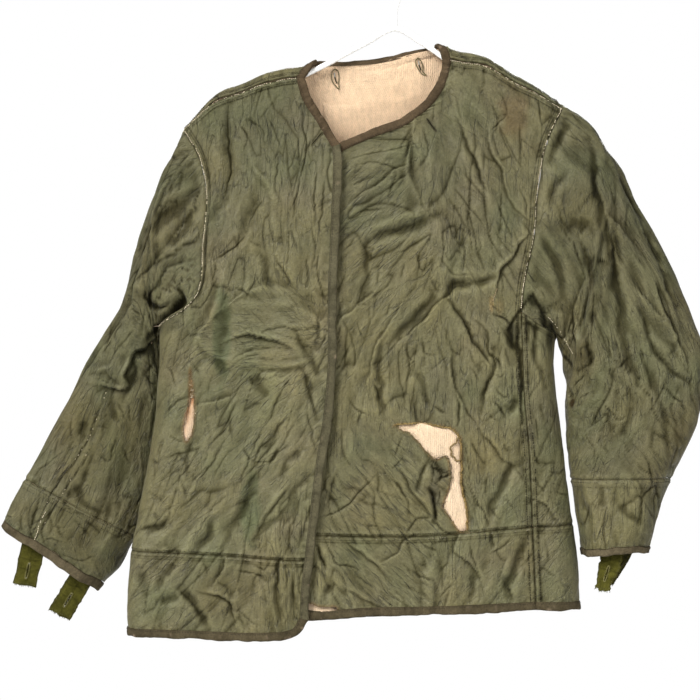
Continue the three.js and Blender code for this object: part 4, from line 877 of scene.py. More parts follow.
right_armhole_front = through([
    right_side_spot(RIGHT_ARMHOLE["low"]), *on_chart(RIGHT_ARMHOLE["front"])[::-1],
    right_top["front"][0],
])
right_armhole_back = through([
    same_on_back(right_side_spot(RIGHT_ARMHOLE["low"])),
    *on_chart(RIGHT_ARMHOLE["back"], "back")[::-1], right_top["back"][0],
])
left_armhole_front = through([*on_chart(LEFT_ARMHOLE["front"])[::-1], left_top["front"][-1]])
left_armhole_under = through([*on_chart([left_corner, LEFT_ARMHOLE["under"]]), left_low])
left_armhole_back = through([
    left_low, *on_chart(LEFT_ARMHOLE["back"], "back")[::-1], left_top["back"][-1],
])
right_hem = joined(
    [
        through([right_side_spot(SIDE_HEM["left"]), *on_chart(RIGHT_HEM[:3])]),
        through(on_chart(RIGHT_HEM[2:])),
    ],
    [5 / 7, 2 / 7],
)
right_band = through([right_side_spot(SIDE_BAND["left"]), *on_chart(RIGHT_BAND)])
left_hem = through(on_chart(LEFT_HEM))
left_band = through(on_chart(LEFT_BAND))
left_side_lower = through(on_chart(LEFT_SIDE_SEAM[:2]))
left_side = through(on_chart(LEFT_SIDE_SEAM[1:]))
right_edge = through(on_chart(RIGHT_EDGE))
left_edge = through(on_chart(LEFT_EDGE))
side_line = [on_right_edge(SIDE_BAND["right"]), on_right_edge(-600), left_low]


def back_line(heights, start):
    middle = (float(girth_at(-40, heights["middle"], "back")), heights["middle"])
    return through([start, middle, same_on_back(right_side_spot(heights["left"]))])


hem_corner = on_right_edge(SIDE_HEM["right"])
back_hem = back_line(SIDE_HEM, hem_corner)
strip_hem = through([left_hem(1), hem_corner])
band_at_side = through([left_band(1), side_line[0]])
back_band = back_line(SIDE_BAND, side_line[0])
back_top = joined(
    [
        through(left_top["back"][::-1]),
        through([left_top["back"][0], *on_chart(BACK_NECK[:1], "back")]),
        through(on_chart(BACK_NECK, "back")),
        through([*on_chart(BACK_NECK[-1:], "back"), right_top["back"][-1]]),
        backwards(through(right_top["back"])),
    ],
    [columns / COLUMNS["back"] for columns in BACK_TOP],
)


def normal_at(point_at, g, h):
    across = point_at(g + 0.5, h) - point_at(g - 0.5, h)
    up = point_at(g, h + 0.5) - point_at(g, h - 0.5)
    return unit(np.cross(across, up))


def distance_along(points, axis):
    steps = np.linalg.norm(np.diff(points, axis=axis), axis=-1)
    start = np.zeros_like(np.take(steps, [0], axis))
    return np.concatenate([start, np.cumsum(steps, axis)], axis)


# A cut piece, filled in smoothly between its four seams, with how far each spot lies from them.
def panel(bottom, top, left, right, columns, heights, point_at=body_point, seamed=(1, 1)):
    across_gap = SEAM_GAP / 2 / abs(bottom(1.0)[0] - bottom(0.0)[0])
    up_gap = SEAM_GAP / 2 / abs(left(1.0)[1] - left(0.0)[1])
    v = (up_gap + (1 - 2 * up_gap) * heights)[:, None, None]
    u = np.linspace(across_gap * seamed[0], 1 - across_gap * seamed[1], columns + 1)
    u = u[None, :, None]
    low, high = bottom(u[..., 0]), top(u[..., 0])
    near, far = left(v[..., 0]), right(v[..., 0])
    corners = (bottom(0.0) * (1 - u) + bottom(1.0) * u) * (1 - v)
    corners = corners + (top(0.0) * (1 - u) + top(1.0) * u) * v
    chart = low * (1 - v) + high * v + near * (1 - u) + far * u - corners
    g, h = chart[..., 0], chart[..., 1]
    point = point_at(g, h)
    right_way, up_way = distance_along(point, 1), distance_along(point, 0)
    return {
        "point": point,
        "normal": normal_at(point_at, g, h),
        "chart": chart,
        "from": {
            "left": (right_way, up_way),
            "right": (right_way[:, -1:] - right_way, up_way),
            "bottom": (up_way, right_way),
            "top": (up_way[-1:] - up_way, right_way),
        },
    }


# ---- Relief ----
# Random numbers from -1 to 1 at the corners of a grid's cells.
def corners_of(i, j, seed):
    values = np.random.default_rng(seed).uniform(-1, 1, (256, 256))
    return lambda a, b: values[(i + a) & 255, (j + b) & 255]


def soft_noise(x, y, cell, seed):
    x, y = x / cell + 31.7, y / cell + 57.3
    i, j = np.floor(x).astype(int), np.floor(y).astype(int)
    f, e = x - i, y - j
    f, e = f * f * (3 - 2 * f), e * e * (3 - 2 * e)
    at = corners_of(i, j, seed)
    return (at(0, 0) * (1 - f) + at(1, 0) * f) * (1 - e) + (at(0, 1) * (1 - f) + at(1, 1) * f) * e


# Noise along a line.
def ripple(x, cell, seed):
    return soft_noise(x, 0 * x, cell, seed)


# Noises added up, each with its share, its cell and its seed.
def noises(x, y, *layers):
    return sum(share * soft_noise(x, y, cell, seed) for share, cell, seed in layers)


def ripples(x, *layers):
    return noises(x, 0 * x, *layers)


# Flat facets that meet in straight creases, as on crumpled cloth.
def facets(x, y, cell, seed):
    x = x + 0.5 * cell * soft_noise(x, y, 1.9 * cell, seed + 1)
    y = y + 0.5 * cell * soft_noise(x, y, 1.9 * cell, seed + 2)
    s = x / cell - y / (cell * 3**0.5) + 11.3
    t = 2 * y / (cell * 3**0.5) + 7.9
    i, j = np.floor(s).astype(int), np.floor(t).astype(int)
    f, e = s - i, t - j
    at = corners_of(i, j, seed)
    low = at(0, 0) * (1 - f - e) + at(1, 0) * f + at(0, 1) * e
    high = at(1, 1) * (f + e - 1) + at(0, 1) * (1 - f) + at(1, 0) * (1 - e)
    return np.where(f + e < 1, low, high)


# Facets drawn out along `angle`, in degrees, which may change from spot to spot.
def crumple(x, y, angle, cell, stretch, seed):
    steps = 8
    place = (np.asarray(angle) % 180) / (180 / steps)
    first = np.floor(place).astype(int)
    share = place - first
    total = np.zeros_like(x)
    for k in range(steps):
        weight = np.where(first % steps == k, 1 - share, 0)
        weight = weight + np.where((first + 1) % steps == k, share, 0)
        some = weight > 0
        if not some.any():
            continue
        turn = math.radians(k * 180 / steps)
        px, py = x[some], y[some]
        along = (px * math.cos(turn) + py * math.sin(turn)) / stretch
        aside = py * math.cos(turn) - px * math.sin(turn)
        total[some] += weight[some] * facets(along, aside, cell, seed + 10 * k)
    return total / np.sqrt(share**2 + (1 - share) ** 2)


def grain_at(x, z):
    turn = np.radians(2 * GRAIN["angle"])
    away = (x[..., None] - GRAIN["x"]) ** 2 + (z[..., None] - GRAIN["z"]) ** 2
    weight = np.exp(-away / 70**2) + 1e-9
    across, along = (weight * np.sin(turn)).sum(-1), (weight * np.cos(turn)).sum(-1)
    return np.degrees(np.arctan2(across, along)) / 2


# How far spots lie from a line, on which side of it and how far along it.
def beside(line, at):
    best, side, place = np.full(len(at), 1e9), np.ones(len(at)), np.zeros(len(at))
    for k in range(len(line) - 1):
        start, way = line[k], line[k + 1] - line[k]
        share = np.clip(((at - start) @ way) / (way @ way), 0, 1)
        off = at - start - share[:, None] * way
        away = np.hypot(off[:, 0], off[:, 1])
        closer = away < best
        best = np.where(closer, away, best)
        side = np.where(closer, np.sign(way[0] * off[:, 1] - way[1] * off[:, 0]), side)
        place = np.where(closer, (k + share) / (len(line) - 1), place)
    return best, side, place


# A fold's section, and how much painted shade lies along it.
def fold_shape(kind, width, away, side):
    if kind == "line":
        return 0.4 * hump(away, 3 * width) - np.exp(-away / (0.75 * width)), hump(away, 1.2)
    if kind == "fold":
        over = 0.5 + 0.5 * np.tanh(side * away / 0.8)
        shape = over * np.exp(-away / width) - (1 - over) * 0.6 * np.exp(-away / 2.6)
        return shape, 0.8 * hump(side * away + 1, 1.5)
    shape = hump(away, width)
    if kind == "lee":
        over = (0.5 + 0.5 * np.tanh(side * away / 0.9)) * shape
        return -0.6 * over, 0.6 * over
    if kind == "gap":
        return -shape, 2.4 * hump(away, 0.8 * width)
    return (shape, 0) if kind == "rise" else (-shape, 0.15 * shape)


SHARP_FOLDS, SOFT_FOLDS = 2.1, 1.8  # how many times as deep as in the tables they are made


# How high the folds stand at (x, z), and how much painted shade lies in their creases.
def fold_relief(rows, x, z):
    x = x + 2.0 * soft_noise(x, z, 14, 3) + 0.8 * soft_noise(x, z, 5, 4)
    z = z + 2.0 * soft_noise(x, z, 14, 5) + 0.8 * soft_noise(x, z, 5, 6)
    height, crease = np.zeros_like(x), np.zeros_like(x)
    for number, (kind, depth, width, *run) in enumerate(rows):
        reach = 5 * width + 8 if kind == "line" else 3.2 * width + 6
        length = length_of(run)
        line = through(run)(np.linspace(0, 1, max(3, int(length / 7) + 2)))
        low, high = line.min(0) - reach, line.max(0) + reach
        near = (x > low[0]) & (x < high[0]) & (z > low[1]) & (z < high[1])
        if not near.any():
            continue
        away, side, place = beside(line, np.stack([x[near], z[near]], -1))
        ends = smoothstep(0, 0.25, place) * smoothstep(1, 0.75, place)
        taper = (0.35 + 0.65 * ends) * (0.8 + 0.35 * ripple(place * length, 20, 40 + number))
        shape, dark = fold_shape(kind, width, away, side)
        gain = SHARP_FOLDS if kind in ("line", "fold") else SOFT_FOLDS
        height[near] += gain * depth * taper * shape
        crease[near] += taper * dark * min(1.0, depth / 1.2)
    return height, crease


# A sewn seam sinks, stands up over its turned-in edges, and puckers.
def seam_relief(away, along, seed, sewn=True):
    pucker = 0.8 * soft_noise(along, away / 6, 4.2, seed) * hump(away - 4, 5)
    pucker = pucker + 0.7 * soft_noise(along, away / 5, 12, seed + 1) * np.exp(-away / 14)
    if not sewn:
        return 1.3 * pucker
    return 0.9 * hump(away - 4.6, 3) - 1.0 * hump(away, 1.4) + pucker


# Where a spot is seen from the camera, in the plane of the hanger.
def seen(points):
    scale = VIEW_DISTANCE / (VIEW_DISTANCE + points[..., 1])
    return tuple(VIEW_CENTRE[k] + (points[..., k] - VIEW_CENTRE[k]) * scale for k in (0, 2))


# The spot `y` behind the hanger's plane that is seen at (x, z).
def unseen(x, z, y):
    scale = (VIEW_DISTANCE + y) / VIEW_DISTANCE
    x, z = (VIEW_CENTRE[k] + (v - VIEW_CENTRE[k]) * scale for k, v in ((0, x), (2, z)))
    return np.stack([x, y, z], -1)


# The front's folds made alike on the back, the other way round and the broad ones fainter.
def mirrored(rows, middle, lower):
    back = []
    for kind, depth, width, *run in rows:
        share = 0.3 if kind == "lee" else 0.4 if width >= 6 else 0.9
        run = [(2 * middle - x, z - lower) for x, z in run[::-1]]
        back.append((kind, share * depth, width, *run))
    return back


FRONT_FOLDS = FOLDS["left_front"] + FOLDS["side"]
BACK_FOLDS = mirrored(FOLDS["right_front"] + FOLDS["left_front"], middle=-53, lower=12)
# The small creases: how deep, how far turned from the grain, how large and how drawn out they
# are, and their seed. The ridged ones are sharp lines between them, sunk and painted darker as
# shade.
CRUMPLES = ((3.2, 0, 34, 2.4, 0), (1.9, 14, 15, 3.0, 200), (0.7, -12, 7, 3.4, 400))
RIDGED = ((2.0, -16, 22, 4.4, 600), (1.5, 8, 12, 4.4, 600))
SLEEVE_CREASES = 1.2  # how many times as deep they are on the sleeves


def finish_relief(piece, x, y, angle, ahead, behind, gaps, fade, seed, strength=1.0):
    point, normal = piece["point"], piece["normal"]
    sx, sz = seen(point)
    front = smoothstep(0.15, 0.6, -normal[..., 1])
    rear = smoothstep(0.15, 0.6, normal[..., 1])
    height, crease = fold_relief(ahead, sx, sz)
    back_height, back_shade = fold_relief(behind, point[..., 0], point[..., 2])
    height = height * front + back_height * rear
    crease = crease * front + back_shade * rear
    calm = 0.8 + 0.45 * soft_noise(x, y, 90, seed + 900)
    rough = 0
    for deep, turn, cell, stretch, more in CRUMPLES:
        rough = rough + deep * crumple(x, y, angle + turn, cell, stretch, seed + more)
    for deep, turn, cell, stretch, more in RIDGED:
        line = crumple(x, y, angle + turn, cell, stretch, seed + more + cell)
        line = np.exp(-np.abs(line) / 0.07)
        line = line * smoothstep(-0.3, 0.5, soft_noise(x, y, 45, seed + more + 100 + cell))
        rough = rough - deep * line
        crease = crease + 0.6 * line
    height = height + strength * calm * rough * (0.55 + 0.45 * np.abs(normal[..., 1]))
    gap_height, gap_shadow = fold_relief(gaps, sx, sz)
    piece["angle"] = angle + np.zeros_like(x)
    piece["crease"] = crease * (0.4 + 0.6 * fade) + gap_shadow * front
    piece["height"] = height * fade + 0.6 * gap_height * front


# Seams along a piece's sides: sewn, bound with tape, or sewn round the armhole only.
def add_seams(piece, sides, seed):
    for number, (side, kind) in enumerate(sides.items()):
        away, along = piece["from"][side]
        relief = seam_relief(away, along + np.zeros_like(away), seed + 7 * number, kind != "bound")
        above_hem = side == "bottom" or (side == "top" and len(away) == len(band_rows))
        if above_hem and kind == "sewn":
            relief = relief * 0.42
        shown = smoothstep(ARM_ROW, ARM_ROW + 8, np.arange(len(away)))[:, None]
        shown = shown if kind == "arm_only" else 1  # the rest of that side is inside the piece
        # A sewn seam is painted darker as shade along its stitch rows, in its groove and over its
        # turned-in edges.
        if kind != "bound":
            lines = (5, 8) if side != "bottom" else (2.6,)
            dark = sum(1.1 * hump(away - line, 1.0) for line in lines)
            dark = dark + 1.1 * hump(away, 1.6) + 0.25 * (away < lines[-1])
            dark = dark * (0.85 + 0.5 * soft_noise(along + 0 * away, away, 3.5, seed + 60 + number))
            piece["crease"] = piece["crease"] + dark * shown
        piece["height"] = piece["height"] + relief * shown
    piece["cloth"] = piece["point"] + piece["normal"] * piece["height"][..., None]


def faded(piece, *sides):
    fade = np.ones(piece["point"].shape[:2])
    for side in sides:
        fade = fade * smoothstep(0, 9, piece["from"][side][0])
    return fade


# ---- The body's pieces ----
front_rows = finer(FRONT_KNOTS, FINE["rows"])
back_rows = finer(BACK_KNOTS, FINE["rows"])
band_rows = np.linspace(0, 1, ROWS["band"] * FINE["band"] + 1)
right_columns, left_columns = COLUMNS["front"] * FINE["right"], COLUMNS["front"] * FINE["left"]
back_columns, strip_columns = COLUMNS["back"] * FINE["back"], COLUMNS["strip"] * FINE["strip"]

right_upper_side = right_side(SIDE_BAND["left"], RIGHT_ARMHOLE["low"])
right_lower_side = right_side(SIDE_HEM["left"], SIDE_BAND["left"])
side_below = through([hem_corner, side_line[0]])
right_front = panel(
    right_band, through(right_top["front"]),
    joined([right_upper_side, right_armhole_front], SIDES),
    joined([right_edge, through([*on_chart(RIGHT_NECK), right_top["front"][-1]])], EDGES),
    right_columns, front_rows, right_front_point,
)
left_front = panel(
    left_band, through(left_top["front"]),
    joined([left_edge, through([*on_chart(LEFT_NECK), left_top["front"][0]])], EDGES),
    joined([left_side, left_armhole_front], SIDES),
    left_columns, front_rows,
)
strip = panel(
    band_at_side, left_armhole_under, left_side, through(side_line),
    strip_columns, np.linspace(0, 1, ARM_ROW + 1), seamed=(1, 0),
)
back = panel(
    back_band, back_top, joined([through(side_line), left_armhole_back], BACK_SIDES),
    joined([on_back(right_upper_side), right_armhole_back], BACK_SIDES),
    back_columns, back_rows, seamed=(0, 1),
)
right_front_band = panel(
    right_hem, right_band, right_lower_side, through(on_chart(RIGHT_LOWER_EDGE)),
    right_columns, band_rows, right_front_point,
)
left_front_band = panel(
    left_hem, left_band, through(on_chart(LEFT_LOWER_EDGE)), left_side_lower,
    left_columns, band_rows,
)
strip_band = panel(
    strip_hem, band_at_side, left_side_lower, side_below, strip_columns, band_rows, seamed=(1, 0),
)
back_main_band = panel(
    back_hem, back_band, side_below, on_back(right_lower_side),
    back_columns, band_rows, seamed=(0, 1),
)


def body_relief(piece, ahead, fade, seed, **sides):
    x, y = np.moveaxis(piece["chart"], -1, 0)
    grain = grain_at(piece["point"][..., 0], piece["point"][..., 2])
    angle = np.where(piece["normal"][..., 1] < 0.2, grain, 78 + 34 * soft_noise(x, y, 110, 62))
    gaps = [] if ahead is FOLDS["right_front"] else GAPS["front"]
    finish_relief(piece, x, y, angle, ahead, BACK_FOLDS, gaps, fade, 100)
    if ahead is FOLDS["right_front"]:  # it lies over the left front, and can't sink into it
        edge = right_edge_at(piece["chart"][..., 1])
        over = smoothstep(edge - 110, edge - 70, piece["point"][..., 0])
        piece["height"] = np.maximum(piece["height"], -2.4 - 12 * (1 - over))
    add_seams(piece, sides, seed)


# The left front lies quiet where the right one covers it.
def uncovered(piece):
    x, h = piece["point"][..., 0], piece["chart"][..., 1]
    return smoothstep(-22, 4, x - right_edge_at(h)) + 0 * x


body_relief(right_front, FOLDS["right_front"], faded(right_front, "top", "left"), 11,
            left="sewn", top="sewn", bottom="sewn", right="bound")
body_relief(left_front, FRONT_FOLDS, faded(left_front, "top") * uncovered(left_front), 12,
            left="bound", top="sewn", bottom="sewn", right="sewn")
body_relief(strip, FRONT_FOLDS, faded(strip, "top"), 12,
            left="sewn", top="sewn", bottom="sewn")
body_relief(back, FRONT_FOLDS, faded(back, "top", "right"), 14,
            left="arm_only", top="sewn", bottom="sewn", right="sewn")
body_relief(right_front_band, FOLDS["right_front"], faded(right_front_band, "left"), 15,
            left="sewn", top="sewn", bottom="bound", right="bound")
body_relief(left_front_band, FRONT_FOLDS, uncovered(left_front_band), 16,
            left="bound", top="sewn", bottom="bound", right="sewn")
body_relief(strip_band, FRONT_FOLDS, faded(strip_band), 16,
            left="sewn", top="sewn", bottom="bound")
body_relief(back_main_band, FRONT_FOLDS, faded(back_main_band, "right"), 18,
            top="sewn", bottom="bound", right="sewn")


# ---- Sleeves ----
AROUND = 236
angles = 2 * math.pi * np.arange(AROUND) / AROUND
arm_edges = {
    "right": (right_front["cloth"][ARM_ROW:, 0][::-1], back["cloth"][ARM_ROW:, -1][::-1]),
    "left": (
        np.concatenate([left_front["cloth"][ARM_ROW:, -1][::-1], strip["cloth"][-1, 1:]]),
        back["cloth"][ARM_ROW:, 0][::-1],
    ),
}


def rounded(value):
    return np.sign(value) * np.abs(value) ** (2 / SQUARENESS)


# Spots round the armhole at even angles: 0 at the shoulder, half way round under the arm.
def armhole_ring(front, behind):
    ring = np.empty((len(angles), 3))
    ahead = angles <= math.pi
    for part, points, at in ((ahead, front, angles), (~ahead, behind, 2 * math.pi - angles)):
        lengths = lengths_along(points)
        own = np.arccos(1 - 2 * lengths / lengths[-1])
        for axis in range(3):
            ring[part, axis] = np.interp(at[part], own, points[:, axis])
    return ring


# The arm's smooth form at some distances down it, with its chart: how far round from the middle
# of the front, and how far down.
def sleeve(side, distances):
    form = SLEEVES[side]
    rings = form["rings"]
    reach = (rounded(np.cos(angles)) + 1) / 2
    values = [armhole_ring(*arm_edges[side])]
    for row in zip(*rings.values()):
        r = dict(zip(rings, row))
        outer, inner = (np.array([r[end + axis] for axis in "xyz"]) for end in "oi")
        ring = inner + (outer - inner) * reach[:, None]
        ring[:, 1] -= r["half"] * rounded(np.sin(angles))
        values.append(ring)
    keys = np.concatenate([[0], rings["along"]])
    point = hermite(keys, np.array(values), distances)
    rise = np.sin(math.pi * np.clip(distances / rings["along"][0], 0, 1))
    point[..., 2] += form["crown"] * rise[:, None] * np.maximum(0, np.cos(angles)) ** 2
    around = np.roll(point, -1, 1) - np.roll(point, 1, 1)
    down = np.gradient(point, axis=0)
    normal = unit(np.cross(around, down)) * form["handed"]
    loop = np.linalg.norm(np.roll(point, -1, 1) - point, axis=-1)
    gone = np.concatenate([np.zeros((len(point), 1)), np.cumsum(loop, 1)], 1)
    whole, gone = gone[:, -1:], gone[:, :-1]
    quarter = len(angles) // 4
    turn = (gone - gone[:, quarter : quarter + 1] + whole / 2) % whole - whole / 2
    chart = np.stack([turn, np.broadcast_to(distances[:, None], turn.shape)], -1)
    return {"point": point, "normal": normal, "chart": chart, "whole": whole}


# The angle on the chart that runs down the arm, as seen from the front.
def arm_grain(point):
    way = unit((point[-1].mean(0) - point[0].mean(0)) * [1, 0, 1])
    around = unit(np.roll(point, -1, 1) - np.roll(point, 1, 1))
    down = unit(np.gradient(point, axis=0))
    lean = (around * down).sum(-1)
    a, b = (around * way).sum(-1), (down * way).sum(-1)
    return np.degrees(np.arctan2(b - lean * a, a - lean * b))


# The cuffs' ends waver up and down.
def waver(points, turn, below):
    way = unit(points[-1].mean(0) - points[0].mean(0))
    wave = ripples(turn, (2.0, 30, 171), (1.0, 12, 172))
    return (smoothstep(-45, 0, below) * wave[None, :])[..., None] * way


# Distances from one seam to another, each seam's gap left open.
def ring_distances(start, end, first, end_gap):
    return np.concatenate([[start], np.arange(first, end - 1, 2.0), [end - end_gap]])


arms = {}  # each with the number of its rows above the sleeve's end
for side, seed in (("right", 500), ("left", 300)):
    end, cuff = SLEEVES[side]["end"], SLEEVES[side]["cuff"]
    upper = ring_distances(SEAM_GAP, end, 2, SEAM_GAP / 2)
    lower = ring_distances(end + SEAM_GAP / 2, cuff, end + 2, 0.2)
    arm = sleeve(side, np.concatenate([upper, lower]))
    x, y = np.moveaxis(arm["chart"], -1, 0)
    ahead = FOLDS[f"{side}_sleeve"]
    behind = [(k, 0.9 * d, w, *[(a, b - 18) for a, b in run]) for k, d, w, *run in ahead]
    angle = arm_grain(arm["point"]) + 26 * soft_noise(x, y, 80, 61)
    fade = smoothstep(0, 12, y) * smoothstep(0, 14, arm["whole"] / 2 - np.abs(x))
    finish_relief(arm, x, y, angle, ahead, behind, GAPS[f"{side}_sleeve"], fade, seed,
                  SLEEVE_CREASES)
    on_top = smoothstep(-0.9, -0.6, np.cos(angles))
    for relief in (
        seam_relief(y, x, 21) * (0.6 * on_top), seam_relief(np.abs(y - end), x, 22) * 0.7,
        seam_relief(cuff - y, x, 23, sewn=False),
    ):
        arm["height"] = arm["height"] + relief
    arm["cloth"] = arm["point"] + arm["normal"] * arm["height"][..., None]
    arm["cloth"] = arm["cloth"] + waver(arm["point"], x[-1], y[:, :1] - cuff)
    arms[side] = (arm, len(upper))


def grid_faces(keep, ring=False):
    rows, columns = keep.shape
    number = np.arange(rows * columns).reshape(rows, columns)
    if ring:
        number, keep = (np.concatenate([a, a[:, :1]], 1) for a in (number, keep))
    corners = [number[:-1, :-1], number[:-1, 1:], number[1:, 1:], number[1:, :-1]]
    whole = keep[:-1, :-1] & keep[:-1, 1:] & keep[1:, 1:] & keep[1:, :-1]
    return np.stack([c[whole] for c in corners], -1)


def all_faces(points, ring=False):
    return grid_faces(np.ones(points.shape[:2], bool), ring)


# A mesh of the points its faces use, with each point's place on the cloth, its dye with painted
# shade and light, and in which of four ways its cloth creases.
def mesh_object(name, points, faces, material, **layers):
    points, faces = np.asarray(points, float).reshape(-1, 3), np.asarray(faces)
    used = np.zeros(len(points), bool)
    used[faces.ravel()] = True
    order = np.cumsum(used) - 1
    points, faces = points[used], order[faces]
    mesh = bpy.data.meshes.new(name)
    mesh.vertices.add(len(points))
    mesh.vertices.foreach_set("co", (points / 1000).ravel())
    mesh.loops.add(faces.size)
    mesh.loops.foreach_set("vertex_index", faces.ravel())
    mesh.polygons.add(len(faces))
    mesh.polygons.foreach_set("loop_start", np.arange(len(faces)) * faces.shape[1])
    mesh.update(calc_edges=True)
    mesh.polygons.foreach_set("use_smooth", np.ones(len(faces), bool))
    if "uv" in layers:
        on_cloth = layers["uv"].reshape(-1, 2)[used] / 1000
        mesh.uv_layers.new(name="cloth").data.foreach_set("uv", on_cloth[faces.ravel()].ravel())
    colours = {}
    if "dye" in layers:
        dye = layers["dye"].reshape(-1, 3)[used]
        colours["dye"] = np.concatenate([dye, np.ones((len(points), 1))], 1)
    if "way" in layers:
        place = (layers["way"].ravel()[used][:, None] / 45 - np.arange(4)) % 4
        colours["ways"] = np.clip(1 - np.minimum(place, 4 - place), 0, 1)
    for label, values in colours.items():
        layer = mesh.color_attributes.new(label, "FLOAT_COLOR", "POINT")
        layer.data.foreach_set("color", values.ravel())
    mesh.materials.append(material)
    obj = bpy.data.objects.new(name, mesh)
    bpy.context.scene.collection.objects.link(obj)
    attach(obj, "root")
    return obj


# Hides the solid a piece is named for; the piece itself is left as it is.
def put(name, obj):
    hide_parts(name)


# ---- Tears ----
# How far inside an outline each spot lies, below nothing outside it, and the nearest spot on it.
def within(outline, x, z):
    corners = np.array(outline, float)
    inside = np.zeros(x.shape, bool)
    best = np.full(x.shape, 1e9)
    nearest = np.stack([x, z], -1)
    for a, b in zip(np.roll(corners, 1, 0), corners):
        crosses = (a[1] > z) != (b[1] > z)
        slope = (b[0] - a[0]) / (b[1] - a[1] if b[1] != a[1] else 1e-9)
        inside ^= crosses & (x < a[0] + (z - a[1]) * slope)
        way = b - a
        share = np.clip(((x - a[0]) * way[0] + (z - a[1]) * way[1]) / (way @ way), 0, 1)
        spot = a + share[..., None] * way
        away = np.hypot(spot[..., 0] - x, spot[..., 1] - z)
        nearest = np.where((away < best)[..., None], spot, nearest)
        best = np.minimum(best, away)
    return np.where(inside, best, -best), nearest


# A finer, uneven outline through the corners of a tear.
def ragged(outline, size, seed):
    loop = through([*outline, outline[0]])
    count = max(150, 5 * len(outline))
    line = loop(np.arange(count) / count)
    return line + np.random.default_rng(seed).uniform(-size, size, line.shape)


def tear(piece, outline, size, seed):
    x, z = seen(piece["cloth"])
    front = piece["normal"][..., 1] < -0.1
    edge = ragged(outline, size, seed)
    depth, nearest = within(edge, x, z)
    snapped = front & (depth > 0) & (depth < SNAP)
    moved = unseen(nearest[..., 0], nearest[..., 1], piece["cloth"][..., 1])
    piece["cloth"] = np.where(snapped[..., None], moved, piece["cloth"])
    piece["keep"] = ~(front & (depth >= SNAP))
    piece["rim"] = np.where(front, hump(np.maximum(-depth, 0), RIM), 0)
    curled = 1.2 * piece["rim"] * (0.4 + soft_noise(x, z, 9, seed))
    piece["cloth"] = piece["cloth"] + piece["normal"] * curled[..., None]
    return edge


slit_edge = tear(right_front, SLIT, 0.8, 71)
tear_edge = tear(left_front, TEAR, 1.1, 72)
tear(left_front_band, CUT, 0.6, 73)

# ---- Dye, with painted shade and light ----
OLIVE = np.array([0.0805, 0.0730, 0.0312])
TONES = {  # how each tone differs from the cloth's own colour
    "green": np.array([0.90, 0.98, 0.96]),
    "warm": np.array([1.07, 1.02, 0.92]),
    "violet": np.array([1.0, 0.95, 1.03]),
}
TAB_GREEN = np.array([0.0425, 0.0395, 0.0070])
RUST = np.array([0.085, 0.050, 0.016])
FADED_TAPE = np.array([0.038, 0.030, 0.0165])
TAPE_TINTS = {
    "neck_binding": [0.92, 0.80, 0.78],
    "hem_binding": [0.86, 0.86, 0.82],
    "right_front_binding": [1.02, 1.14, 1.12],
}
CREAM = np.array([0.665, 0.480, 0.312])
# Threads
DARK = np.array([0.020, 0.017, 0.011])
# SHADOW: the strand laid in a buttonhole's slit as its painted shadow.
SHADOW = np.array([0.012, 0.010, 0.007])
OVERLOCKED = np.array([0.040, 0.036, 0.018])
OLD_CREAM = np.array([0.56, 0.48, 0.34])
RUSTY = np.array([0.20, 0.115, 0.045])
FADED_RUST = np.array([0.27, 0.20, 0.11])
GOLD = np.array([0.17, 0.115, 0.04])
TAB_THREAD = np.array([0.055, 0.05, 0.02])

# Painted highlight where the cloth stands above its surroundings and painted shade where it lies
# below them: how near, by how much, and its share.
RELIEF_SHADING = ((2, 0.6, 1), (6, 2.5, 0.5), (16, 4.5, 0.4))


def relief_blur(height, reach):
    for axis in (0, 1, 0, 1):
        edge = [(reach + 1, reach) if k == axis else (0, 0) for k in (0, 1)]
        total = np.moveaxis(np.cumsum(np.pad(height, edge, mode="edge"), axis), axis, 0)
        mean = (total[2 * reach + 1 :] - total[: -2 * reach - 1]) / (2 * reach + 1)
        height = np.moveaxis(mean, 0, axis)
    return height


def dye_and_shade_of(piece, colour, seed):
    x, y = np.moveaxis(piece["chart"], -1, 0)
    tone = noises(x, y, (1, 62, seed), (0.5, 24, seed + 1))
    other = noises(x, y, (1, 48, seed + 2), (0.4, 17, seed + 3))
    dye = colour * np.ones((*x.shape, 3))
    for share, name in ((tone, "warm"), (-tone, "green"), (other, "violet")):
        share = np.clip(share, 0, 1) * (0.8 if name == "violet" else 1)
        dye = dye * (1 + (TONES[name] - 1) * share[..., None])
    sx, sz = seen(piece["point"])
    # Stains, and patches of painted shade and painted light, on faces turned to the front; `left` is the
    # factor on the dye.
    for cx, cz, rx, rz, *left in zip(*STAINS_AND_SHADE.values()):
        away = np.hypot((sx - cx) / rx, (sz - cz) / rz) + 0.25 * soft_noise(sx, sz, 12, 81)
        share = smoothstep(1.25, 0.6, away) * (piece["normal"][..., 1] < 0)
        dye = dye * (1 + (np.array(left) - 1) * share[..., None])
    # Raised cloth is painted lighter as a highlight, and hollows, creases and seams darker as shade.
    height = np.clip(piece["height"], -9, 9)
    highlight_and_shade = 0
    for reach, most, share in RELIEF_SHADING:
        highlight_and_shade = highlight_and_shade + share * np.clip((height - relief_blur(height, reach)) / most, -1, 1)
    wear_and_shade = 1 + 0.19 * np.maximum(highlight_and_shade, 0) + 0.25 * np.minimum(highlight_and_shade, 0)
    wear_and_shade = wear_and_shade - 0.44 * np.clip(piece["crease"], 0, 1.9)
    wear_and_shade = wear_and_shade * (1 + 0.07 * soft_noise(x, y, 5, seed + 5))
    wear_and_shade = np.clip(wear_and_shade, 0.2, 1.35)[..., None]
    # Painted shade is tinted browner, with less blue.
    dye = dye * wear_and_shade * (1 - np.array([0, 0.05, 0.3]) * np.clip(1 - wear_and_shade, 0, 1))
    if "rim" in piece:
        fray = np.clip(piece["rim"] * (0.9 + 0.5 * soft_noise(x, y, 6, 84)), 0, 1)[..., None]
        dye = dye * (1 - 0.75 * fray) + RUST * 0.9 * fray
    return dye


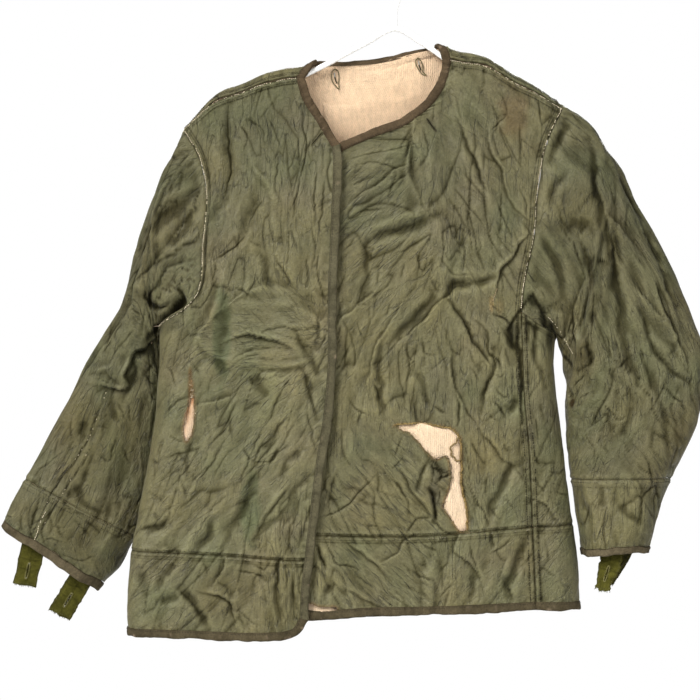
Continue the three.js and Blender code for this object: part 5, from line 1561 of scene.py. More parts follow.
# ---- Materials ----
# A node, each of its inputs set to a value or joined to another node's output.
def add_node(tree, kind, inputs=None, **settings):
    node = tree.nodes.new(kind)
    for key, value in settings.items():
        setattr(node, key, value)
    for key, value in (inputs or {}).items():
        if isinstance(value, bpy.types.NodeSocket):
            tree.links.new(value, node.inputs[key])
        else:
            node.inputs[key].default_value = value
    return node


def place_on(tree, source):
    return add_node(tree, "ShaderNodeTexCoord").outputs[source]


def maths(tree, operation, *values):
    inputs = dict(enumerate(values))
    return add_node(tree, "ShaderNodeMath", inputs, operation=operation).outputs["Value"]


def times(tree, colour, value):
    inputs = {0: colour, "Scale": value}
    return add_node(tree, "ShaderNodeVectorMath", inputs, operation="SCALE").outputs["Vector"]


# A value between `start` and `end`, brought between `low` and `high`.
def ranged(tree, value, start, end, low, high):
    ends = {"From Min": start, "From Max": end, "To Min": low, "To Max": high}
    return add_node(tree, "ShaderNodeMapRange", {**ends, "Value": value}).outputs["Result"]


def noise_value(tree, scale, low, high, detail=3.0, stretch=(1, 1, 1), source="Object"):
    inputs = {"Vector": place_on(tree, source), "Scale": stretch}
    mapped = add_node(tree, "ShaderNodeMapping", inputs).outputs["Vector"]
    inputs = {"Vector": mapped, "Scale": scale, "Detail": detail, "Roughness": 0.6}
    noise = add_node(tree, "ShaderNodeTexNoise", inputs).outputs["Fac"]
    return ranged(tree, noise, 0.3, 0.7, low, high)


def bump(tree, height, distance, strength=1.0, over=None):
    inputs = {"Height": height, "Distance": distance, "Strength": strength}
    if over is not None:
        inputs["Normal"] = over
    return add_node(tree, "ShaderNodeBump", inputs).outputs["Normal"]


# The threads of a plain weave, on the cloth's own chart.
def weave_value(tree, pitch):
    inputs = {"Vector": place_on(tree, "UV"), "Scale": 0.314 / pitch, "Distortion": 1.2}
    ways = [add_node(tree, "ShaderNodeTexWave", inputs, bands_direction=axis) for axis in "XY"]
    return maths(tree, "MAXIMUM", *[wave.outputs["Fac"] for wave in ways])


def dye_and_shading_node(tree, output="Color"):
    return add_node(tree, "ShaderNodeAttribute", attribute_name="dye").outputs[output]


# Sharp creases, drawn out along whichever of four ways the cloth creases in.
def crease_value(tree, scale, stretch, width):
    ways = add_node(tree, "ShaderNodeAttribute", attribute_name="ways")
    split = add_node(tree, "ShaderNodeSeparateColor", {"Color": ways.outputs["Color"]})
    place = place_on(tree, "UV")
    total = 0.0
    for k, share in enumerate([*split.outputs[:3], ways.outputs["Alpha"]]):
        inputs = {
            "Vector": place, "Rotation": (0, 0, math.radians(45 * k)), "Scale": (stretch, 1, 1),
            "Location": (0.01 * k, 0, 0),
        }
        turned = add_node(tree, "ShaderNodeMapping", vector_type="TEXTURE", inputs=inputs)
        inputs = {
            "Vector": turned.outputs["Vector"], "Scale": scale, "Detail": 1.5, "Roughness": 0.5,
            "Distortion": 0.25,
        }
        noise = add_node(tree, "ShaderNodeTexNoise", inputs).outputs["Fac"]
        away = maths(tree, "ABSOLUTE", maths(tree, "SUBTRACT", noise, 0.5))
        near = ranged(tree, away, 0.0, width, 1.0, 0.0)
        total = maths(tree, "MULTIPLY_ADD", near, share, total)
    return total


# A material with its tree, and a way to set or join its shader's inputs.
def new_material(name, roughness, **settings):
    mat = bpy.data.materials.new(name)
    mat.use_nodes = True
    tree = mat.node_tree
    shader = tree.nodes["Principled BSDF"]
    shader.inputs["Roughness"].default_value = roughness
    for label, value in settings.items():
        shader.inputs[label.replace("_", " ")].default_value = value

    def join(**outputs):
        for label, output in outputs.items():
            tree.links.new(output, shader.inputs[label.replace("_", " ")])

    return mat, tree, join


# The sharp creases' scale, how drawn out and wide they are, how much painted shade darkens them
# and how deep.
CREASES = ((85, 4.0, 0.035, 0.50, 0.0013), (170, 4.5, 0.05, 0.38, 0.0007))


def cloth_material(name, roughness, pitch, mottle, crinkle, shine, creased=False, **settings):
    mat, tree, join = new_material(name, roughness, **settings)
    colour = times(tree, dye_and_shading_node(tree), noise_value(tree, 420, 1 - mottle, 1 + mottle))
    colour = times(tree, colour, noise_value(tree, 1400, 0.9, 1.1, 1.0))
    join(Roughness=noise_value(tree, 60, roughness - 0.06, roughness + 0.1))
    # The specular level follows the painted dye's brightness, so painted shade dims the reflection too.
    join(Specular_IOR_Level=ranged(tree, dye_and_shading_node(tree, "Fac"), 0.01, 0.07, 0.02, shine))
    small = bump(tree, weave_value(tree, pitch), 0.00012, 0.6)
    for scale, stretch, width, dark, deep in CREASES if creased else ():
        lines = crease_value(tree, scale, stretch, width)
        patches = noise_value(tree, 30, 0, 1, 2.0, source="UV")
        lines = maths(tree, "MULTIPLY", lines, patches)
        colour = times(tree, colour, maths(tree, "MULTIPLY_ADD", lines, -dark, 1.0))
        small = bump(tree, maths(tree, "MULTIPLY", lines, -1.0), deep, 1.0, small)
    small = bump(tree, noise_value(tree, 260, 0, 1, 4.0), crinkle, 0.8, small)
    join(Base_Color=colour, Normal=small)
    return mat


def pile_material():
    mat, tree, join = new_material(
        "pile_cloth", 0.95, Specular_IOR_Level=0.1, Sheen_Weight=0.25, Sheen_Roughness=0.6
    )
    colour = times(tree, dye_and_shading_node(tree), noise_value(tree, 170, 0.86, 1.12, 4.0, (1, 1, 0.35)))
    colour = times(tree, colour, noise_value(tree, 700, 0.88, 1.1, 2.0))
    inputs = {"Scale": 125.0, "Distortion": 1.5, "Detail": 2.0, "Detail Scale": 3.0}
    inputs["Vector"] = place_on(tree, "UV")
    wales = add_node(tree, "ShaderNodeTexWave", inputs, bands_direction="X").outputs["Fac"]
    colour = times(tree, colour, ranged(tree, wales, 0, 1, 0.93, 1.05))
    small = bump(tree, wales, 0.0005, 0.8)
    small = bump(tree, noise_value(tree, 330, 0, 1, 5.0, (1, 1, 0.4)), 0.0009, 0.8, small)
    small = bump(tree, noise_value(tree, 900, 0, 1, 2.0), 0.0007, 0.8, small)
    join(Base_Color=colour, Normal=small)
    return mat


# A plain colour, a little uneven.
def plain_colour(tree, colour, scale, low, high):
    inputs = dict(zip(("Red", "Green", "Blue"), colour))
    base = add_node(tree, "ShaderNodeCombineColor", inputs).outputs["Color"]
    return times(tree, base, noise_value(tree, scale, low, high))


def plastic_material():
    mat, tree, join = new_material("hanger_plastic", 0.35, Specular_IOR_Level=0.5)
    join(Base_Color=plain_colour(tree, (0.86, 0.85, 0.82), 40, 0.94, 1.02))
    join(Roughness=noise_value(tree, 90, 0.28, 0.45))
    join(Normal=bump(tree, noise_value(tree, 500, 0, 1), 0.00008, 0.5))
    return mat


shell_look = cloth_material(
    "shell_cloth", roughness=0.5, pitch=0.0006, mottle=0.15, crinkle=0.0007, shine=0.28,
    creased=True, Sheen_Weight=0.04, Sheen_Roughness=0.5,
)
tape_look = cloth_material(
    "binding_tape", roughness=0.85, pitch=0.0010, mottle=0.22, crinkle=0.0006, shine=0.2
)
tab_look = cloth_material(
    "tab_cotton", roughness=0.9, pitch=0.0012, mottle=0.16, crinkle=0.0005, shine=0.08
)
thread_look = cloth_material(
    "sewing_thread", roughness=0.7, pitch=0.0004, mottle=0.10, crinkle=0.0001, shine=0.3
)
pile_look = pile_material()
hanger_look = plastic_material()


# Several grids as one: what each of them holds under `key`, and their faces.
def gathered(grids, key, channels):
    return np.concatenate([grid[key].reshape(-1, channels) for grid in grids])


def gathered_faces(keeps, ring=False, flip=False):
    faces, start = [], 0
    for keep in keeps:
        quads = grid_faces(keep, ring)
        faces.append((quads[:, ::-1] if flip else quads) + start)
        start += keep.size
    return np.concatenate(faces)


def shell_object(name, pieces, seed, ring=False, flip=False, shade=1.0):
    for piece in pieces:
        piece["dye"] = dye_and_shade_of(piece, OLIVE * shade, seed)
    keeps = [piece.get("keep", np.ones(piece["point"].shape[:2], bool)) for piece in pieces]
    return mesh_object(
        name, gathered(pieces, "cloth", 3), gathered_faces(keeps, ring, flip), shell_look,
        uv=gathered(pieces, "chart", 2), dye=gathered(pieces, "dye", 3),
        way=gathered(pieces, "angle", 1),
    )


def part_rows(arm, start, end):
    return {key: value[start:end] for key, value in arm.items() if key != "whole"}


for name, pieces, seed in (
    ("right_front", [right_front], 31),
    ("left_front", [left_front], 33),
    ("back", [back, strip], 35),
    ("right_front_band", [right_front_band], 31),
    ("left_front_band", [left_front_band], 33),
    ("back_band", [back_main_band, strip_band], 35),
):
    put(name, shell_object(name + "_cloth", pieces, seed))
for side, (arm, split) in arms.items():
    for name, rows in ((f"{side}_sleeve", (0, split)), (f"{side}_sleeve_end", (split, None))):
        part = part_rows(arm, *rows)
        put(name, shell_object(name + "_cloth", [part], 37, True, side == "right", 0.82))


# ---- Linings ----
# The lowest relief round each kept spot, so that a layer under it never shows through.
def lowest(height, reach):
    low = height.copy()
    for _ in range(2):
        for axis in (0, 1):
            for _ in range(reach):
                low = np.minimum(low, np.minimum(np.roll(low, 1, axis), np.roll(low, -1, axis)))
    for _ in range(6):
        low = np.minimum(low, relief_blur(low, 1))
    return low


def every(count, step):
    return np.unique(np.append(np.arange(0, count, step), count - 1))


# A layer of pile under some pieces, `step` times as coarse. Where a tear shows it, it lies bare.
def under_layer(pieces, step, inset, seed, fluff):
    point, normal, height, chart = (
        np.concatenate([piece[key] for piece in pieces])
        for key in ("point", "normal", "height", "chart")
    )
    height = lowest(np.minimum(height, 2), step // 2 + 1)
    i, j = every(point.shape[0], step), every(point.shape[1], step)
    point, normal, height, chart = (a[i][:, j] for a in (point, normal, height, chart))
    if inset:  # it stops short of the seams at its sides
        for edge, inner in ((0, 1), (-1, -2)):
            way = point[:, inner] - point[:, edge]
            share = inset / np.maximum(np.linalg.norm(way, axis=-1, keepdims=True), inset)
            point[:, edge] += share * way
    x, y = np.moveaxis(chart, -1, 0)
    pile = 0.35 * soft_noise(x, y / 4, 5, seed) + 0.15 * soft_noise(x, y / 3, 3.2, seed + 1)
    swell = soft_noise(x, y / 4, 34, seed + 2)
    offset = np.minimum(height, 0.4) - LINING_BEHIND - fluff * (1.1 - pile - 0.8 * swell)
    sx, sz = seen(point)
    in_tear, in_slit, in_cut = (within(hole, sx, sz)[0] for hole in (TEAR, SLIT, CUT))
    bare = smoothstep(-4, 2, np.max([in_tear, in_slit, in_cut], 0)) * (normal[..., 1] < 0)
    offset = offset + bare * (-0.9 - 0.5 * fluff * (1 - pile) - offset)
    cloth = point + normal * offset[..., None]
    uneven = 1 + 0.10 * pile + 0.05 * swell + 0.06 * soft_noise(x, y, 70, seed + 3)
    dye = CREAM * uneven[..., None]
    yellowed = 0.5 + 0.5 * soft_noise(x, y, 40, seed + 4)
    dye = dye * (1 + np.array([0.0, -0.03, -0.07]) * yellowed[..., None])
    dye = dye * (1 - np.array([0.18, 0.14, 0.11]) * bare[..., None])
    # Painted light: the lining in the hem's parted corner is made lighter.
    dye = dye * (1 + 0.45 * smoothstep(-3, 1, in_cut))[..., None]
    rusty = smoothstep(-3, 1, in_slit) * smoothstep(-620, -560, sz - 3 * (sx + 262))
    rusty = np.clip(rusty * (1 + 0.5 * soft_noise(sx, sz, 5, 85)), 0, 1)
    dye = dye * (1 - np.array([0.34, 0.60, 0.80]) * rusty[..., None])
    keep = np.ones(point.shape[:2], bool)
    return {"point": point, "cloth": cloth, "normal": normal, "chart": chart, "dye": dye,
            "keep": keep}


def lining_object(name, layers, ring=False, flip=True):
    faces = gathered_faces([layer["keep"] for layer in layers], ring, flip)
    return mesh_object(name, gathered(layers, "cloth", 3), faces, pile_look,
                       uv=gathered(layers, "chart", 2), dye=gathered(layers, "dye", 3))


linings = {
    "right_front_lining": [under_layer([right_front_band, right_front], 3, 2, 91, 0.8)],
    "left_front_lining": [under_layer([left_front_band, left_front], 3, 2, 92, 0.8)],
    "back_lining": [
        under_layer([back_main_band, back], 3, 0, 93, 0.8),
        under_layer([strip_band, strip], 3, 0, 94, 0.8),
    ],
}
# The right front's is cut away under the arm, where the sleeve folds in.
layer = linings["right_front_lining"][0]
x, z = layer["point"][..., 0], layer["point"][..., 2]
layer["keep"] &= ~((x < -256) & (z > -500) & (z < -436 + (x + 256) * -0.43) & (z < -400))
# The back's goes up into the neck binding.
layer = linings["back_lining"][0]
share = np.linspace(0, 1, layer["cloth"].shape[1])[:, None]
reach = 5.5 * smoothstep(0.285, 0.31, share) * smoothstep(0.715, 0.69, share)
layer["cloth"][-1] += unit(layer["point"][-1] - layer["point"][-2]) * reach
for name, layers in linings.items():
    put(name, lining_object(name + "_pile", layers))
for side, (arm, _) in arms.items():
    layer = under_layer([part_rows(arm, 9, None)], 4, 0, 95, 0.3)
    layer = {key: value[:, : AROUND // 4] for key, value in layer.items()}
    if side == "right":  # it spans the tuck behind the arm, and stops short where the front folds in
        turn, below = np.moveaxis(layer["chart"], -1, 0)
        layer["keep"] = ~((below < 36) & (np.abs(turn) > 110))
        share = smoothstep(160, 128, below) * smoothstep(135, 160, np.abs(turn))
        inward = unit(layer["point"].mean(1, keepdims=True) - layer["cloth"])
        layer["cloth"] = layer["cloth"] + 15 * share[..., None] * inward
    name = f"{side}_sleeve_lining"
    lining_object(name, [layer], True, side == "left")


# ---- Bindings ----
# Each tape's section: how far out from the cloth's edge, and how high over the cloth.
TAPE_PROFILE = np.array(xz("""
    -1.8,0.5 -1.4,1.1 0.6,1.3 4.6,1.45 7.8,1.2 9.0,0.5 9.4,-1.0 9.0,-2.8 7.8,-4.2 5.6,-5.0 4.2,-5.5
    3.4,-5.3
"""))
CUFF_PROFILE = np.array(xz("""
    0.4,0.1 0.7,0.9 2.5,1.35 6.5,1.4 9.6,1.2 10.7,0.2 10.9,-1.4 10.2,-3.0 7.5,-3.7 3.5,-3.8 0.6,-3.4
"""))


def run_of(*edges):
    run = {
        key: np.concatenate([piece[key][part] for piece, part in edges])
        for key in ("point", "normal", "cloth")
    }
    smooth = run["point"].copy()
    for _ in range(12):
        smooth[1:-1] = (smooth[:-2] + 2 * smooth[1:-1] + smooth[2:]) / 4
    run["across"] = unit(np.cross(np.gradient(smooth, axis=0), run["normal"]))
    return run


def tape_chart(along, profile):
    across = lengths_along(profile)
    return across, np.stack(np.broadcast_arrays(along[None, :], across[:, None]), -1)


neck = slice(NECK_COLUMNS[1], NECK_COLUMNS[0] - 1, -1)
runs = {
    "neck_binding": run_of(
        (right_front, np.s_[NECK_ROW:, -1]), (back, (-1, neck)),
        (left_front, np.s_[: NECK_ROW - 1 : -1, 0]),
    ),
    "left_front_binding": run_of(
        (left_front, np.s_[NECK_ROW::-1, 0]), (left_front_band, np.s_[::-1, 0])
    ),
    "hem_binding": run_of(
        (left_front_band, np.s_[0, :]), (strip_band, np.s_[0, :]), (back_main_band, np.s_[0, 1:]),
        (right_front_band, np.s_[0, :]),
    ),
    "right_front_binding": run_of(
        (right_front_band, np.s_[:, -1]), (right_front, np.s_[: NECK_ROW + 1, -1])
    ),
}
around = list(runs.values())
for before, after in zip(around, [*around[1:], around[0]]):  # mitred corners
    bisector = unit(before["across"][-1] + after["across"][0])
    before["across"][-1] = after["across"][0] = bisector * 1.08
tapes = {}
for name, run in runs.items():
    along = lengths_along(run["point"])
    wave = ripples(along, (1.5, 11, 101), (1.1, 5, 102))
    drift = 1.7 * ripple(along, 26, 103)
    points = []
    for out, high in TAPE_PROFILE:
        share = max(out, 0) / TAPE_WIDTH
        away = out + share * (0.35 * wave + 0.6 * drift)
        lift = high + 0.35 * wave * share + 0.9 * drift * share
        points.append(run["cloth"] + run["across"] * away[:, None] + run["normal"] * lift[:, None])
    points = np.array(points)
    across, chart = tape_chart(along, TAPE_PROFILE)
    x, y = np.moveaxis(chart, -1, 0)
    dye = FADED_TAPE * (1.45 + 0.34 * noises(x, y, (1, 19, 104), (0.7, 5, 105))[..., None])
    dye = dye * TAPE_TINTS.get(name, [1, 1, 1])
    wear_and_shade = np.clip(soft_noise(x, y * 1.5, 7, 106) - 0.7, 0, 1) * 2
    wear_and_shade = wear_and_shade * hump(across - 9.5, 5)[:, None]
    dye = dye + (CREAM * 0.4 - dye) * np.clip(wear_and_shade, 0, 0.7)[..., None]
    # Painted shadow along the tape's edge, where it meets the cloth.
    dye = dye * (1 - 0.45 * hump(across, 1.0))[:, None, None]
    tape = mesh_object(name + "_tape", points, all_faces(points), tape_look, uv=chart, dye=dye)
    put(name, tape)
    tapes[name] = (points, np.broadcast_to(run["normal"], points.shape))

for side, (arm, _) in arms.items():
    cuff, last = SLEEVES[side]["cuff"], SLEEVES[side]["rings"]["along"][-1]
    out, high = CUFF_PROFILE[:, :1], CUFF_PROFILE[:, 1:]
    distances = np.concatenate([np.arange(cuff - 4, cuff, 1.0), np.linspace(cuff, last, 12)])
    plain = sleeve(side, distances)
    at = cuff + CUFF_PROFILE[:, 0] * (last - cuff) / 11
    normals = unit(hermite(distances, plain["normal"], at))
    turn = plain["chart"][-1, :, 0]
    wave = ripples(turn, (2.0, 13, 111), (1.2, 6, 112))
    lift = high + arm["height"][-1][None, :] * 0.8 + 0.35 * wave[None, :]
    points = hermite(distances, plain["point"], at) + normals * lift[..., None]
    points = points + waver(arm["point"], arm["chart"][-1, :, 0], np.zeros((len(points), 1)))
    kink = 0.5 * soft_noise(turn[None, :] + 2 * out, out, 4, 116)
    points = points + normals * (kink - 0.9 * hump(out - 4.6, 1.6))[..., None]
    across, chart = tape_chart(turn, CUFF_PROFILE)
    stain = noises(chart[..., 0], chart[..., 1], (1, 17, 114), (0.6, 5, 115))
    dye = FADED_TAPE * (1.5 + 0.6 * stain[..., None])
    sewn = hump(across, 1.2) + 0.7 * hump(across - 5.2, 0.9)
    dye = dye * (1 - 0.5 * sewn[:, None] * (0.8 + 0.4 * ripple(turn, 5, 117)))[..., None]
    name = f"{side}_cuff_binding"
    quads = all_faces(points, True)
    quads = quads[:, ::-1] if side == "right" else quads
    tape = mesh_object(name + "_tape", points, quads, tape_look, uv=chart, dye=dye)
    put(name, tape)


# ---- Stitching ----
# Shades of a colour, a little lighter or darker.
def shades(random, spread, count):
    return 1 + spread * random.uniform(-1, 1, (count, 1))


def between(where, along, what):
    return np.stack([np.interp(where, along, what[:, k]) for k in range(3)], -1)


class Thread:
    """Short runs of thread over a cloth, gathered into one mesh."""

    def __init__(self):
        self.points, self.faces, self.dyes, self.count = [], [], [], 0

    # Bars from `start` to `end`, standing a little off the cloth on its normals.
    def bars(self, start, end, normals, radius, colour, rise=0.25):
        sides, shares = 4, np.array([0, 0.18, 0.82, 1])
        width = np.array([0.25, 1, 1, 0.25])
        lift = np.array([-0.3, rise, rise, -0.3])
        way = unit(end - start)
        aside = unit(np.cross(way, normals))
        up = np.cross(aside, way)
        turn = (2 * math.pi * np.arange(sides) / sides)[:, None]
        n = len(start)
        centre = start[:, None] + (end - start)[:, None] * shares[None, :, None]
        centre = centre + up[:, None] * lift[None, :, None]
        ring = np.cos(turn) * aside[:, None, None] + np.sin(turn) * up[:, None, None]
        points = centre[:, :, None] + ring * (radius * width)[None, :, None, None]
        base = self.count + 4 * sides * np.arange(n)[:, None, None]
        row, j = np.arange(3)[None, :, None] * sides, np.arange(sides)[None, None, :]
        on = (j + 1) % sides
        quad = [base + row + j, base + row + on, base + row + sides + on, base + row + sides + j]
        self.faces.append(np.stack(np.broadcast_arrays(*quad), -1).reshape(-1, 4))
        self.points.append(points.reshape(-1, 3))
        colours = np.asarray(colour, float) * np.ones((n, 3))
        self.dyes.append(np.repeat(colours, 4 * sides, 0))
        self.count += n * 4 * sides

    # One thread that runs on from spot to spot.
    def strand(self, line, normals, radius, colour, rise=0.0):
        self.bars(line[:-1], line[1:], normals[:-1], radius, colour, rise)

    # A row of stitches along a line on a cloth; `kept` is the share of them still there.
    def row(self, line, normals, colour, length=2.1, gap=1.0, radius=0.3, kept=1.0, seed=1,
            rise=0.25, astray=0.0):
        along = lengths_along(line)
        count = int(along[-1] / (length + gap))
        if count < 1:
            return
        rng = np.random.default_rng(seed)
        start = (np.arange(count) + 0.15 * rng.uniform(-1, 1, count)) * (length + gap) + gap / 2
        there = rng.uniform(0, 1, count) < kept * (1 + 0.6 * ripple(start, 25, seed))
        if not there.any():
            return
        a, b = (between(end, along, line)[there] for end in (start, start + length))
        n = unit(between(start + length / 2, along, normals)[there])
        aside = unit(np.cross(n, b - a))
        a, b = (end + aside * astray * rng.uniform(-1, 1, (len(a), 1)) for end in (a, b))
        self.bars(a, b, n, radius, np.asarray(colour) * shades(rng, 0.18, there.sum()), rise)

    # A worked buttonhole: close bars round a slit, and a dark strand down the slit as its painted
    # shadow.
    def buttonhole(self, line, normals, width, colour, radius=0.42, slit=True):
        centre, half = line.mean(0), np.linalg.norm(line[-1] - line[0]) / 2
        way = unit(line[-1] - line[0])
        aside = unit(np.cross(unit(normals.mean(0)), way))
        normal = np.cross(way, aside)
        turn = np.linspace(0, 2 * math.pi, int(5.2 * half / 0.85), endpoint=False)
        c, s = np.cos(turn), np.sin(turn)
        ring = lambda long, wide: (
            centre + way * (long * np.sign(c) * np.abs(c) ** 0.8)[:, None]
            + aside * (wide * np.sign(s) * np.abs(s) ** 0.6)[:, None]
        )
        inner, outer = ring(half - 1.6, 0.55), ring(half, width / 2)
        colour = np.asarray(colour) * shades(np.random.default_rng(5), 0.2, len(turn))
        up = np.broadcast_to(normal, inner.shape)
        self.bars(inner + normal * 0.5, outer + normal * 0.3, up, radius, colour, 0.35)
        if slit:
            ends = [centre + sign * way * (half - 1.4) + normal * 0.3 for sign in (-1, 1)]
            self.strand(np.array(ends), normal[None].repeat(2, 0), 0.5, SHADOW, 0.2)

    def build(self, name, slot):
        points = np.concatenate(self.points)
        obj = mesh_object(name, points, np.concatenate(self.faces), thread_look,
                          uv=points[:, ::2].copy(), dye=np.concatenate(self.dyes))
        return obj


# A line on a piece's cloth a set distance in from one of its seams.
def inset_line(piece, side, distance, start=0, end=None):
    grids = (piece["from"][side][0], piece["cloth"], piece["normal"])
    if side in ("top", "bottom"):
        grids = [np.swapaxes(grid, 0, 1) for grid in grids]
    line, normals = [], []
    for reach, cloth, normal in list(zip(*grids))[start:end]:
        order = slice(None, None, -1) if reach[0] > reach[-1] else slice(None)
        for found, what in ((line, cloth), (normals, normal)):
            found.append([np.interp(distance, reach[order], what[order, k]) for k in range(3)])
    return np.array(line), unit(np.array(normals))


# A line seen from the front, laid on the nearest cloth that faces it.
def lay(path, surfaces, pitch=1.5, inner=False):
    spots = through(path)(np.linspace(0, 1, max(2, int(length_of(path) / pitch) + 1)))
    sign = -1 if inner else 1
    clouds, ways = [], []
    for s in surfaces:
        facing = (sign * s["normal"][..., 1] < -0.05).ravel()
        clouds.append(s["cloth"].reshape(-1, 3)[facing])
        ways.append(sign * s["normal"].reshape(-1, 3)[facing])
    cloud, way = np.concatenate(clouds), np.concatenate(ways)
    x, z = seen(cloud)
    low, high = spots.min(0) - 8, spots.max(0) + 8
    near = (x > low[0]) & (x < high[0]) & (z > low[1]) & (z < high[1])
    cloud, way, x, z = cloud[near], way[near], x[near], z[near]
    line, normals = [], []
    for sx, sz in spots:
        best = np.argsort((x - sx) ** 2 + (z - sz) ** 2)[:4]
        line.append(unseen(sx, sz, cloud[best, 1].mean()))
        normals.append(way[best].mean(0))
    return np.array(line), unit(np.array(normals))


threads = {name: Thread() for name in (
    "right_front", "left_front", "back", "right_sleeve", "left_sleeve", "back_lining",
    "neck_binding", "left_front_binding", "hem_binding", "right_front_binding",
    "right_front_band", "left_front_band", "back_band", "right_sleeve_end", "left_sleeve_end",
)}


def seam_rows(name, piece, side, distances, start=0, end=None, colour=DARK, **how):
    for k, distance in enumerate(distances):
        line, normals = inset_line(piece, side, distance, start, end)
        threads[name].row(line, normals, colour, seed=200 + 7 * k, **how)


# Overlocking: close bars across a seam's turned-in edge.
def overlock(name, piece, side, start, near=1.6, far=7.4, pitch=2.2, kept=0.95):
    inner, normals = inset_line(piece, side, near, start)
    outer, _ = inset_line(piece, side, far, start)
    along = lengths_along(inner)
    at = np.arange(1, along[-1] - 2, pitch)
    at = at[np.random.default_rng(77).uniform(0, 1, len(at)) < kept]
    colour = OVERLOCKED * shades(np.random.default_rng(78), 0.25, len(at))
    ends = between(at, along, inner), between(at + 1.0, along, outer)
    threads[name].bars(*ends, unit(between(at, along, normals)), 0.38, colour, 0.15)


# The double rows: the piece, its side, how far in they run, and from where to where.
for name, piece, side, distances, start, end in (
    ("right_front", right_front, "left", (5, 8), ARM_ROW, None),
    ("right_front", right_front, "left", (4, 7), 0, ARM_ROW),
    ("right_front", right_front, "top", (4.5, 7.5), 0, None),
    ("left_front", left_front, "right", (5, 8), ARM_ROW, None),
    ("left_front", left_front, "right", (3.5,), 0, ARM_ROW),
    ("left_front", left_front, "top", (4.5, 7.5), 0, None),
    ("back", back, "right", (5, 8), 0, None),
    ("back", back, "left", (5, 8), ARM_ROW, None),
    ("back", back, "top", (4.5, 7.5), 0, NECK_COLUMNS[0]),
    ("back", back, "top", (4.5, 7.5), NECK_COLUMNS[1], None),
    ("back", strip, "left", (3,), 0, None),
):
    seam_rows(name, piece, side, distances, start, end)
# The side seam that shows has a heavy row down either side of it, into the band.
for name, piece, side, end in (
    ("left_front", left_front, "right", ARM_ROW), ("back", strip, "left", None),
    ("left_front_band", left_front_band, "right", None), ("back_band", strip_band, "left", None),
):
    seam_rows(name, piece, side, (6.4,), 0, end, DARK * 0.6, length=2.4, gap=0.8, radius=0.55,
              astray=0.3)
for name, band, upper in (
    ("right_front", right_front_band, right_front), ("left_front", left_front_band, left_front),
    ("back", back_main_band, back),
):
    seam_rows(name, upper, "bottom", (3,), kept=0.85)
    seam_rows(f"{name}_band", band, "top", (3,), kept=0.2, colour=OLD_CREAM * 0.3)
for name, piece, side, start in (
    ("right_front", right_front, "left", ARM_ROW), ("right_front", right_front, "top", 0),
    ("left_front", left_front, "right", ARM_ROW), ("left_front", left_front, "top", 0),
    ("back", back, "left", ARM_ROW), ("back", back, "right", ARM_ROW),
):
    overlock(name, piece, side, start)
# Worn cream thread along the seams.
for name, piece, side, start in (
    ("right_front", right_front, "left", ARM_ROW + 4), ("left_front", left_front, "right", ARM_ROW),
    ("right_front", right_front, "top", 0), ("left_front", left_front, "top", 0),
):
    seam_rows(name, piece, side, (1.0,), start, None, OLD_CREAM * 1.3, length=1.5, gap=0.9,
              radius=0.45, kept=0.68, rise=0.9, astray=0.7)
for name, (points, normals) in tapes.items():
    threads[name].row(points[2], normals[2], DARK * 1.4, length=2.2, seed=301, gap=1.1, rise=0.3)
for side, (arm, split) in arms.items():
    for row, kept in ((split + 2, 1.0), (split + 5, 0.7)):
        loop, turned = (closed_loop(arm[key][row : row + 1])[0] for key in ("cloth", "normal"))
        threads[f"{side}_sleeve_end"].row(loop, turned, DARK, seed=320 + row, kept=kept)

# The seam down the back of one sleeve comes round to its front, its cream thread mostly gone.
for k, path in enumerate((
    "-369,-556 -394,-621 -437,-684 -467,-744", "-387,-625 -422,-683 -464,-753",
)):
    line = lay(xz(path), [arms["right"][0]])
    threads["right_sleeve"].row(*line, DARK, seed=330 + k)
    threads["right_sleeve"].row(
        *line, OLD_CREAM, length=1.5, gap=6, radius=0.35, kept=0.35, seed=340 + k
    )
# Single rows of thread that show: above the right cuff, and at the left underarm's worn corner.
for name, piece, path, colour, how in (
    ("right_sleeve", arms["right"][0], "-449,-714 -456,-728 -461,-745 -464,-752", OLD_CREAM,
     dict(length=1.6, gap=1.0, radius=0.5, kept=0.8, seed=345, astray=0.6)),
    ("left_sleeve", arms["left"][0], "204,-461 216,-475 237,-510", OLD_CREAM * 0.9,
     dict(length=1.8, gap=0.8, radius=0.42, kept=0.85, seed=350, astray=0.5)),
    ("left_front", left_front, "138,-424 133,-439 127,-457", FADED_RUST,
     dict(gap=0.5, radius=0.5, seed=360)),
    ("left_front", left_front, "140,-460 151,-465 156,-471", DARK,
     dict(gap=0.5, radius=0.5, seed=361)),
):
    threads[name].row(*lay(xz(path), [piece]), colour, **how)

